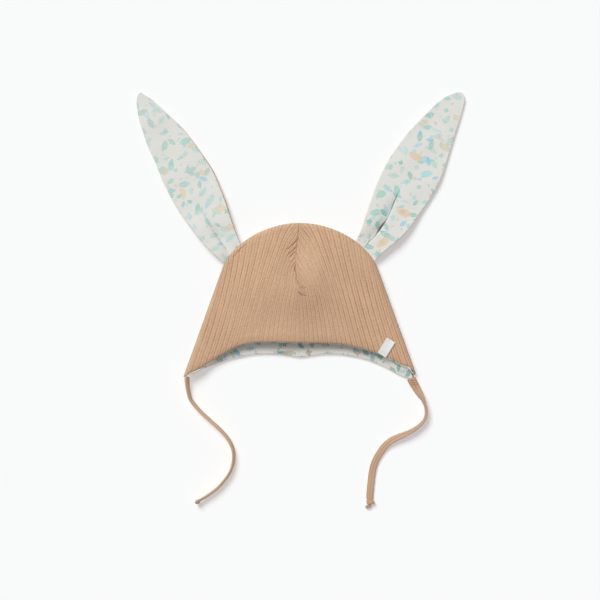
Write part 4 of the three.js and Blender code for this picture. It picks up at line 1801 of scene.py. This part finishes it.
@dataclass(frozen=True)
class Panels:
    """The ribbed shell and the printed lining of the hat's front and back; cuts are in metres."""

    plan: HatPlan
    finishes: Finishes
    columns_per_rib: int = 8
    other_columns_per_rib: int = 4
    front_rows: int = 120
    back_rows: int = 44
    front_lining_rows: int = 40
    rib_depth: float = 0.42
    back_rib_depth: float = 0.4
    groove_sharpness: float = 0.4
    back_groove_sharpness: float = 0.55
    half_line_depth: float = 0.18
    half_line_width: float = 0.07
    dart_reach: float = 13.0
    dart_depth: float = 0.35
    sway_reach: float = 15.0
    seam_width: float = 3.2
    hem_round: float = 0.9
    back_hem_round: float = 0.35
    lining_hem_round: float = 0.5
    front_lining_drop: HemDrop = HemDrop(0.8, ((-98.0, 1.3, 9.0), (109.0, 4.4, 4.5)))
    back_lining_drop: HemDrop = HemDrop(0.3, ((-94.0, -2.0, 7.0), (110.0, 2.4, 4.0)))
    lining_rise: float = 1.5
    dart_groove: float = 0.55
    dart_groove_width: float = 0.9
    back_seam_groove: float = 0.5
    back_seam_width: float = 0.9
    unevenness: float = 0.22
    creases: tuple[Crease, ...] = CREASES
    gather: float = 0.9
    gather_reach: float = 8.0
    gather_start: tuple[float, float] = (10, 34)
    sway: float = 0.35
    sway_length: float = 55.0
    flap_rise: float = 0.6
    # front_shadow and back_shadow: painted shadow on the linings under the front's hem; shadow_fade fades
    # it in from the outline
    front_shadow: float = 0.5
    back_shadow: float = 0.64
    print_shift: float = 260.0
    front_cut: tuple[float, float] = (0.225, 0.155)
    back_cut: tuple[float, float] = (0.225, 0.145)
    front_lining_cut: tuple[float, float] = (0.222, 0.15)
    back_lining_cut: tuple[float, float] = (0.222, 0.14)
    cut_share: float = 0.66
    brow_fade: tuple[float, float] = (0, 9)
    shadow_fade: tuple[float, float] = (10, 34)

    def places(self, per_rib: int, beyond: int | None = None) -> Array:
        """Columns across a panel, the same left and right, from -1 to 1.

        Args:
            per_rib: columns for each rib that runs into the dart.
            beyond: columns for each of the others, if they differ.

        Returns:
            The signed share of each column.
        """
        plan = self.plan
        inner = np.arange(1, plan.ribs_in_dart * per_rib + 1) / per_rib
        others = plan.ribs_per_side - plan.ribs_in_dart
        outer = np.arange(1, others * (beyond or per_rib) + 1) / (beyond or per_rib)
        half = plan.place_of_rib(np.concatenate([inner, plan.ribs_in_dart + outer]))
        return np.concatenate([-half[::-1], [0], half])

    def rib_of_place(self, places: Array) -> Array:
        """Number the ribs.

        Args:
            places: the signed share of each column.

        Returns:
            The signed number of the rib at each column.
        """
        plan = self.plan
        u = np.abs(places)
        inner = u / plan.dart_share * plan.ribs_in_dart
        beyond = plan.ribs_per_side - plan.ribs_in_dart
        outer = plan.ribs_in_dart + (u - plan.dart_share) / (1 - plan.dart_share) * beyond
        return np.sign(places) * np.where(u <= plan.dart_share, inner, outer)

    def relief(
        self, rib: Array, run: Array, x: Array, y: Array, within: Array
    ) -> Array:
        """How deep the knit lies under the outer face: its grooves, the dart and the creases.

        Args:
            rib: number of the rib at each point.
            run: millimetres along the rib from the hem.
            x: the points' first coordinates.
            y: the points' second coordinates.
            within: the points' distance in from the outline.

        Returns:
            The depth at each point.
        """
        plan = self.plan
        phase = np.abs(rib - np.round(rib))
        groove = 1 - np.abs(np.sin(np.pi * phase)) ** self.groove_sharpness
        middle = self.half_line_depth * bell(phase - 0.5, self.half_line_width)
        uneven = 1 + self.unevenness * waver(rib * 3, run / 9, 6.0, seed=4)
        above = np.clip((y - plan.dart_end) / self.dart_reach, 0, 1)
        gathered = self.dart_depth * above * bell(x, self.dart_reach)
        knit = groove * (self.rib_depth * uneven + gathered) + middle
        for calm in CALMS:
            knit = knit * calm.kept(x, y)
        from_seam = x - SEAM_SWAY.at(y)
        stitched = self.dart_groove * above * bell(from_seam, self.dart_groove_width)
        folds = sum(crease.depth_at(x, y) for crease in self.creases)
        fade = np.clip((within - 0.3) / (plan.edge_rounding * 0.8), 0, 1)
        return fade * (np.maximum(stitched, knit) + folds)

    def front(self) -> bpy.types.Object:
        """Make the ribbed front panel.

        Returns:
            The panel.
        """
        plan = self.plan
        places = self.places(self.columns_per_rib, self.columns_per_rib - 2)
        rows = RibRows(middle=self.front_rows)
        x, y, run = plan.along_ribs(places, FRONT_HEM, 0.0, rows, HemDrop())
        x = x + SEAM_SWAY.at(y) * bell(x, self.sway_reach)
        within = np.maximum(0, plan.distance_in(x, y))
        height_at = partial(plan.front_height, depth=0.0)
        above = soft_step(*self.gather_start, y - plan.dart_end)
        gathered = self.gather * above * bell(x - SEAM_SWAY.at(y), self.gather_reach)
        side = np.where(places < 0, -1.0, 1.0)
        rib = self.rib_of_place(places) + side * gathered
        sway = self.sway * waver(x, y, self.sway_length, seed=8)
        sway = sway * soft_step(1.0, 22.0, within) * soft_step(0, 20, run)
        normal = plan.normals(height_at, x, y)
        sunk = brow_sag(run) * soft_step(*self.brow_fade, within)
        face = np.stack([x, y, height_at(x, y) + sway - sunk], axis=-1)
        sewn = self.sewn(within, places, x.shape)
        rounded = ease(run / self.hem_round)
        half = plan.shell_wall / 2
        hollow = self.relief(rib, run, x, y, within) * soft_step(-0.5, 1.4, run)
        top = face - normal * (half * (1 - rounded) * sewn + hollow * sewn)[..., None]
        under = (half * (1 + rounded) + hollow * (1 - rounded)) * sewn
        bottom = face - normal * under[..., None]
        pattern = np.stack([rib, run], axis=-1)
        piece = closed_cloth("front_shell", top, bottom, pattern, self.finishes.front_knit)
        declare_cloth(piece, "front_panel", self.front_cut, self.cut_share)
        return piece

    def sewn(self, within: Array, places: Array, shape: tuple[int, int]) -> Array:
        """The share of its wall that a cloth has, which runs out towards the seams.

        Args:
            within: each point's distance in from the outline.
            places: the signed share of each column.
            shape: rows and columns.

        Returns:
            The share at each point.
        """
        share = ease(within / self.seam_width)
        at_side = np.broadcast_to(np.abs(places) == 1, shape)
        return np.where(at_side, 0.0, share)

    def back(self) -> bpy.types.Object:
        """Make the ribbed back panel, which the hat lies on.

        Returns:
            The panel.
        """
        plan = self.plan
        places = self.places(self.other_columns_per_rib)
        rows = RibRows(middle=self.back_rows)
        x, y, run = plan.along_ribs(places, BACK_HEM, 0.0, rows, HemDrop())
        within = np.maximum(0, plan.distance_in(x, y))
        height_at = partial(plan.back_height, depth=0.0)
        rib = np.broadcast_to(self.rib_of_place(places), x.shape)
        normal = plan.normals(height_at, x, y)
        face = np.stack([x, y, height_at(x, y)], axis=-1)
        sewn = self.sewn(within, places, x.shape)
        rounded = ease(run / self.back_hem_round)
        half = plan.shell_wall / 2
        phase = np.abs(rib - np.round(rib))
        groove = 1 - np.abs(np.sin(np.pi * phase)) ** self.back_groove_sharpness
        hollow = self.back_rib_depth * groove * sewn
        bottom = face + normal * (half * (1 - rounded) * sewn + hollow)[..., None]
        over = half * (1 + rounded) * sewn + hollow * (1 - rounded)
        top = face + normal * over[..., None]
        pattern = np.stack([rib, run], axis=-1)
        piece = closed_cloth("back_shell", top, bottom, pattern, self.finishes.knit)
        declare_cloth(piece, "back_panel", self.back_cut, self.cut_share)
        return piece

    def front_lining(self) -> bpy.types.Object:
        """Make the front's lining, which rolls out a little past its hem.

        Returns:
            The lining.
        """
        plan = self.plan
        depth = plan.lining_depth
        places = self.places(self.other_columns_per_rib)
        rows = RibRows(middle=self.front_lining_rows)
        drop = self.front_lining_drop
        x, y, run = plan.along_ribs(places, FRONT_HEM, depth, rows, drop)
        within = np.maximum(depth, plan.distance_in(x, y))
        height_at = partial(plan.front_height, depth=depth)
        normal = plan.normals(height_at, x, y)
        rise = self.lining_rise + self.flap_rise * np.minimum(1, drop.more(x))
        rolled = rise * (1 - soft_step(0.3, 1.3, run - drop.more(x)))
        sunk = brow_sag(run) * soft_step(*self.brow_fade, within - depth)
        face = np.stack([x, y, height_at(x, y) + rolled - sunk], axis=-1)
        # painted shadow on the lining's rolled edge, under the front shell's hem
        painted_shade = self.front_shadow * soft_step(*self.shadow_fade, within) * (1 - soft_step(3, 6, run))
        sewn = self.sewn(within - depth, places, x.shape)
        rounded = ease(run / self.lining_hem_round)
        half = plan.lining_wall / 2
        top = face - normal * (half * (1 - rounded) * sewn)[..., None]
        bottom = face - normal * (half * (1 + rounded) * sewn)[..., None]
        pattern = np.stack([x, y], axis=-1)
        finish = self.finishes.lining_print
        piece = closed_cloth("front_lining_cloth", top, bottom, pattern, finish, painted_shade)
        flat = self.front_lining_cut
        declare_cloth(piece, "front_lining", flat, self.cut_share)
        return piece

    def back_lining(self) -> bpy.types.Object:
        """Make the back's lining, with the seam down its middle.

        Returns:
            The lining.
        """
        plan = self.plan
        depth = plan.lining_depth
        places = self.places(self.other_columns_per_rib)
        rows = RibRows(middle=self.back_rows)
        x, y, run = plan.along_ribs(places, BACK_HEM, depth, rows, self.back_lining_drop)
        within = np.maximum(depth, plan.distance_in(x, y))
        height_at = partial(plan.back_height, depth=depth)
        normal = plan.normals(height_at, x, y)
        face = np.stack([x, y, height_at(x, y)], axis=-1)
        sewn = self.sewn(within - depth, places, x.shape)
        rounded = ease(run / self.back_hem_round)
        half = plan.lining_wall / 2
        seam = self.back_seam_groove * bell(x, self.back_seam_width)
        bottom = face + normal * (half * (1 - rounded) * sewn)[..., None]
        top = face + normal * ((half * (1 + rounded) - seam * rounded) * sewn)[..., None]
        pattern = np.stack([x, y + self.print_shift], axis=-1)
        # painted shadow on the back lining under the front's hem, fading over 11 mm below it
        below = plan.hem_at(FRONT_HEM, x) - y
        painted_shade = self.back_shadow * (1 - soft_step(-1, 11, below)) * soft_step(*self.shadow_fade, within)
        finish = self.finishes.lining_print
        piece = closed_cloth("back_lining_cloth", top, bottom, pattern, finish, painted_shade)
        flat = self.back_lining_cut
        declare_cloth(piece, "back_lining", flat, self.cut_share)
        return piece


@dataclass(frozen=True)
class EarShape:
    """What sets one ear apart from the other; reaches are shares of half the ears' width."""

    name: str
    side: int
    seat: float
    lean: float
    fold: tuple[float, ...]
    flank: float
    overhang: float
    drift: tuple[float, ...]
    show: float
    outer: tuple[float, ...]
    inner: tuple[float, ...]


EAR_STATIONS = (0, 0.08, 0.16, 0.25, 0.34, 0.43, 0.54, 0.66, 0.74, 0.82, 0.88, 0.94, 0.98, 1)
LEFT_EAR = EarShape(
    name="left",
    side=-1,
    seat=0.24,
    lean=30.0,
    fold=(0, 0.42, 0.5, 0.24, 0.06, 0, 0, 0, 0, 0),
    flank=1.8,
    overhang=0.08,
    drift=(2.2, 3.0, 4.0, 5.0, 5.0, 5.0, 5.0, 5.0, 5.0, 5.0),
    show=0.55,
    outer=(0.46, 0.635, 0.785, 0.87, 0.95, 0.97, 0.925, 0.8, 0.75, 0.63, 0.535, 0.38, 0.22, 0.07),
    inner=(0.46, 0.52, 0.63, 0.765, 0.86, 0.93, 0.89, 0.8, 0.71, 0.53, 0.41, 0.26, 0.12, 0.05),
)
RIGHT_EAR = EarShape(
    name="right",
    side=1,
    seat=0.28,
    lean=31.3,
    fold=(0.2, 0.6, 0.95, 0.9, 0.66, 0.24, 0, 0, 0, 0),
    flank=0.75,
    overhang=1.0,
    drift=(-1.4, -0.6, 2.4, 3.3, 1.1, -1.4, -2.5, -2.5, -2.5, -2.5),
    show=0.0,
    outer=(0.5, 0.635, 0.84, 0.985, 1.03, 1.08, 1.045, 0.87, 0.71, 0.57, 0.465, 0.34, 0.24, 0.07),
    inner=(0.5, 0.56, 0.69, 0.83, 0.96, 1.03, 1.04, 0.96, 0.85, 0.71, 0.6, 0.42, 0.22, 0.06),
)


@dataclass(frozen=True)
class Ear:
    """One ear: a printed face and a ribbed back, sewn together round their rim."""

    plan: HatPlan
    finishes: Finishes
    shape: EarShape
    length: float = 175.0
    width: float = 49.4
    wall: float = 1.0
    lift: float = 5.2
    rest_gap: float = 0.15
    fold_gentle: float = 8.0
    back_inset: float = 0.6
    show_share: float = 0.6
    tucked_in: float = 1.2
    rim_width: float = 0.6
    rows: int = 120
    rib_pitch: float = 4.65
    rib_depth: float = 0.35
    groove_sharpness: float = 0.55
    row_crowding: float = 1.2
    seat_steps: int = 26
    seat_reach: float = 20.0
    lip: float = 2.6
    lip_place: float = 1.8
    lip_back: float = 1.0
    lip_back_place: float = -0.3
    lip_back_width: float = 0.8
    sway: float = 0.3
    sway_length: float = 45.0
    # slit_width to slit_shade: the painted shadow in the right ear's slit and the fainter painted shade
    # beside it
    slit_width: float = 0.5
    slit_more: float = 3.4
    slit_place: float = 26.0
    slit_reach: float = 7.5
    slit_edge: float = -1.2
    slit_shade: float = 0.2
    back_pull: float = 3.0
    cut_width: float = 1.08
    cut_share: float = 0.74
    stations: tuple[float, ...] = (0, 0.05, 0.11, 0.2, 0.28, 0.36, 0.45, 0.6, 0.8, 1)
    outer_rise: tuple[float, ...] = (0.5, 0.9, 1, 0.95, 0.7, 0.48, 0.32, 0.2, 0.1, 0)
    inner_rise: tuple[float, ...] = (0.5, 0.75, 0.85, 0.75, 0.55, 0.38, 0.25, 0.16, 0.08, 0)

    @property
    def stack(self) -> float:
        """Thickness of the ear's two cloths together, which are pressed flat."""
        return 2 * self.wall

    def axes(self) -> tuple[Array, Array, Array]:
        """Find how the ear lies over the plan.

        Returns:
            The middle of its base, and the directions along it and out from the hat.
        """
        seat = self.plan.crown_point(self.shape.seat, 0.0)
        lean = math.radians(self.shape.lean)
        side = self.shape.side
        along = np.array([side * math.sin(lean), math.cos(lean)])
        outward = np.array([side * math.cos(lean), -math.sin(lean)])
        return np.array([side * seat[0], seat[1]]), along, outward

    def starts(self, w: Array) -> Array:
        """How far along the ear its cloth starts, tucked into the crown seam.

        Args:
            w: places across the ear.

        Returns:
            The start at each place.
        """
        base, along, outward = self.axes()
        inside = np.full(w.shape, -self.width)
        outside = np.full(w.shape, self.width)
        for _ in range(self.seat_steps):
            middle = (inside + outside) / 2
            points = base + middle[:, None] * along + w[:, None] * outward
            deeper = self.plan.distance_in(points[:, 0], points[:, 1]) > self.tucked_in
            inside = np.where(deeper, middle, inside)
            outside = np.where(deeper, outside, middle)
        return outside

    def columns(self) -> Array:
        """Place the columns across the ear, closer together at its fold and at its rim.

        Returns:
            The signed share of each column, from -1 to 1.
        """
        rim = 1 - np.array([0, 0.004, 0.012, 0.025, 0.045, 0.07])
        even = np.linspace(-1, 1, 57)
        at_fold = np.linspace(-0.2, 0.24, 45)
        return np.unique(np.round(np.concatenate([even, at_fold, rim, -rim]), 5))

    def middle_surface(self) -> tuple[Array, ...]:
        """The surface between the ear's two cloths.

        Returns:
            Its points, how full the ear is at each, from 0 at the rim to 1, the cloth's own
            coordinates, and the painted shade in and beside the fold's slit at each point.
        """
        shape = self.shape
        q = self.columns()
        share = np.sin(np.pi / 2 * np.linspace(0, 1, self.rows)) ** self.row_crowding
        outer = SmoothTable(EAR_STATIONS, shape.outer).at(share)[:, None]
        inner = SmoothTable(EAR_STATIONS, shape.inner).at(share)[:, None]
        reach = np.where(q < 0, inner, outer) * self.width / 2
        a = q * reach
        fold = np.clip(SmoothTable(self.stations, shape.fold).at(share)[:, None], 0, 1)
        over = shape.overhang * fold
        b = a - SmoothTable(self.stations, shape.drift).at(share)[:, None]
        lip = self.lip * over * bell(b - self.lip_place, 1.0)
        w = a - lip + self.lip_back * over * bell(b - self.lip_back_place, self.lip_back_width)
        outer_rise = SmoothTable(self.stations, self.outer_rise).at(share)[:, None]
        inner_rise = SmoothTable(self.stations, self.inner_rise).at(share)[:, None]
        rise = self.lift * mix(inner_rise, outer_rise, (q + 1) / 2)
        flank = np.where(b > 0, shape.flank, self.fold_gentle)
        dip = rise * fold * bell(b / flank, 1.0)
        base, along, outward = self.axes()
        start = self.starts(np.clip(w[0], -self.seat_reach, self.seat_reach))
        s = mix(start, self.length, share[:, None])
        plan = base + s[..., None] * along + w[..., None] * outward
        sway = self.sway * waver(plan[..., 0], plan[..., 1], self.sway_length, seed=21 + shape.side)
        sway = sway * np.clip(share[:, None] * 6, 0, 1)
        top = self.rest_gap + self.stack + rise - dip + sway + 0.3
        points = np.concatenate([plan, (top - self.stack / 2)[..., None]], axis=-1)
        edge = (1 - np.abs(q)) * reach
        end = (1 - share[:, None]) * self.length
        begin = share[:, None] * self.length
        full = ease(np.minimum(np.minimum(edge, end), begin) / self.rim_width)
        pattern = np.stack([a, s], axis=-1)
        # painted shadow along the slit under the folded lobe, and fainter painted shade beside it
        wide = self.slit_width + self.slit_more * bell(s - self.slit_place, self.slit_reach)
        painted_slit_shadow = soft_step(self.slit_edge - wide, self.slit_edge - 0.5 * wide, b)
        painted_slit_shadow = painted_slit_shadow * (1 - soft_step(0.2, 1.0, b))
        shaded = self.slit_shade * bell((b + 2.5) / 3.0, 1.0) * bell(s - 45.0, 20.0)
        painted_shade = shape.overhang * np.maximum(painted_slit_shadow, shaded)
        painted_shade = painted_shade * soft_step(0, 8, s) * (1 - soft_step(52, 68, s))
        return points, full, pattern, painted_shade

    def build(self) -> tuple[bpy.types.Object, bpy.types.Object]:
        """Make the ear.

        Returns:
            Its face and its back.
        """
        turn = self.shape.side < 0
        made = self.middle_surface()
        points, full, pattern, painted_shade = (grid[:, ::-1] for grid in made) if turn else made
        normal = grid_normals(points)
        half = self.stack / 2
        gap = self.plan.cloth_gap / 2
        upper = points + normal * (half * full)[..., None]
        inside = points + normal * (gap * full)[..., None]
        print_finish = self.finishes.left_print if turn else self.finishes.right_print
        name = f"{self.shape.name}_ear_print"
        face = closed_cloth(name, upper, inside, pattern, print_finish, painted_shade)
        ribs = pattern / [self.rib_pitch, 1.0]
        phase = np.abs(ribs[..., 0] - np.round(ribs[..., 0]))
        hollow = self.rib_depth * (1 - np.abs(np.sin(np.pi * phase)) ** self.groove_sharpness)
        shown = self.peeping(*full.shape, turn)
        lower = points + shown - normal * ((half - hollow) * full)[..., None]
        lining = points + shown - normal * (gap * full)[..., None]
        lower[..., 2] = np.maximum(self.rest_gap, lower[..., 2])
        back = closed_cloth(f"{self.shape.name}_ear_rib", lining, lower, ribs, self.finishes.knit)
        flat = (self.width * self.cut_width * MM, self.length * MM)
        node = f"{self.shape.name}_ear"
        declare_cloth(face, f"{node}_face", flat, self.cut_share)
        declare_cloth(back, f"{node}_back", flat, self.cut_share)
        return face, back

    def peeping(self, rows: int, columns: int, turned: bool) -> Array:
        """How far the back is moved so that it peeps out beside the face.

        Args:
            rows: of the ear's grid.
            columns: of the ear's grid.
            turned: whether the columns run the other way.

        Returns:
            The move at each point.
        """
        across = np.linspace(-1, 1, columns)
        if turned:
            across = -across
        share = np.linspace(0, 1, rows)[:, None]
        wave = np.sin(np.pi * np.minimum(1, share / self.show_share)) * (share < self.show_share)
        near = soft_step(0.4, 1.0, -across)[None, :]
        _, along, outward = self.axes()
        inset = self.back_inset * soft_step(0.7, 1.0, np.abs(across))[None, :]
        held_in = inset * np.sign(across)[None, :] * (1 - np.minimum(1, near * wave * 4))
        move = self.shape.show * wave * near + held_in
        pulled = self.back_pull * self.back_inset * soft_step(0.9, 1.0, share) * np.ones_like(across)
        return -move[..., None] * [*outward, 0.0] - pulled[..., None] * [*along, 0.0]


@dataclass(frozen=True)
class Label:
    """The plain woven label that is sewn into the front hem and lies on the knit."""

    plan: HatPlan
    finishes: Finishes
    width: float = 9.1
    length: float = 16.8
    wall: float = 0.8
    gap: float = 0.45
    place: float = 0.7
    lean: float = 31.7
    rows: int = 40
    columns: int = 24
    curl: float = 0.5
    rim_width: float = 0.45
    cut_width: float = 10.0

    def build(self) -> bpy.types.Object:
        """Make the label.

        Returns:
            The label.
        """
        plan = self.plan
        foot_x = self.place * plan.half_span
        foot_y = float(plan.hem_at(FRONT_HEM, np.array(foot_x)))
        lean = math.radians(self.lean)
        edge = np.array([0, 0.01, 0.03, 0.06, 0.1])
        s_share = np.unique(np.concatenate([edge / 2, np.linspace(0, 1, self.rows), 1 - edge / 2]))
        w_share = np.unique(np.concatenate([edge, np.linspace(0, 1, self.columns), 1 - edge]))
        s = s_share[:, None] * self.length
        w = (w_share[None, :] - 0.5) * self.width
        x = foot_x + s * math.sin(lean) + w * math.cos(lean)
        y = foot_y + s * math.cos(lean) - w * math.sin(lean)
        on_knit = np.maximum(y, plan.hem_at(FRONT_HEM, x) + plan.hem_roll_width)
        level = plan.front_height(x, on_knit, 0.0) - brow_sag(y - plan.hem_at(FRONT_HEM, x))
        curl = self.curl * (np.abs(w) / (self.width / 2)) ** 2 * s_share[:, None]
        top = level + self.gap + self.wall + curl
        at_ends = np.minimum(s, self.length - s)
        at_sides = np.minimum(self.width / 2 - w, self.width / 2 + w)
        full = ease(np.minimum(at_ends, at_sides) / self.rim_width)
        half = self.wall / 2
        upper = np.stack([x, y, top - half * (1 - full)], axis=-1)
        lower = np.stack([x, y, top - half * (1 + full)], axis=-1)
        pattern = np.stack([w + 0 * s, s + 0 * w], axis=-1)
        piece = closed_cloth("label_ribbon", upper, lower, pattern, self.finishes.label)
        flat = (self.cut_width * MM, self.length * MM)
        declare_cloth(piece, "label", flat)
        return piece


def corners() -> list[list[float]]:
    """The lowest and highest corner of all that shows, as plain numbers."""
    return [[float(value) for value in corner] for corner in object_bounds()]


def main() -> None:
    """Build the scene: camera and cords first, then the hat's cloths from the back up."""
    logging.basicConfig(level=logging.INFO, format="%(message)s")
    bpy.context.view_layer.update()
    studio = Studio()
    studio.camera()
    plan = HatPlan()
    finishes = Finishes.make()
    Tie(plan, LEFT_TIE).strap(finishes.left_tie, finishes.tie_end)
    Tie(plan, RIGHT_TIE).strap(finishes.right_tie, finishes.tie_end)
    studio.lights()
    studio.floor()
    panels = Panels(plan, finishes)
    panels.back()
    panels.back_lining()
    panels.front_lining()
    panels.front()
    for shape in (LEFT_EAR, RIGHT_EAR):
        Ear(plan, finishes, shape).build()
    Label(plan, finishes).build()


if __name__ == "__main__":
    main()
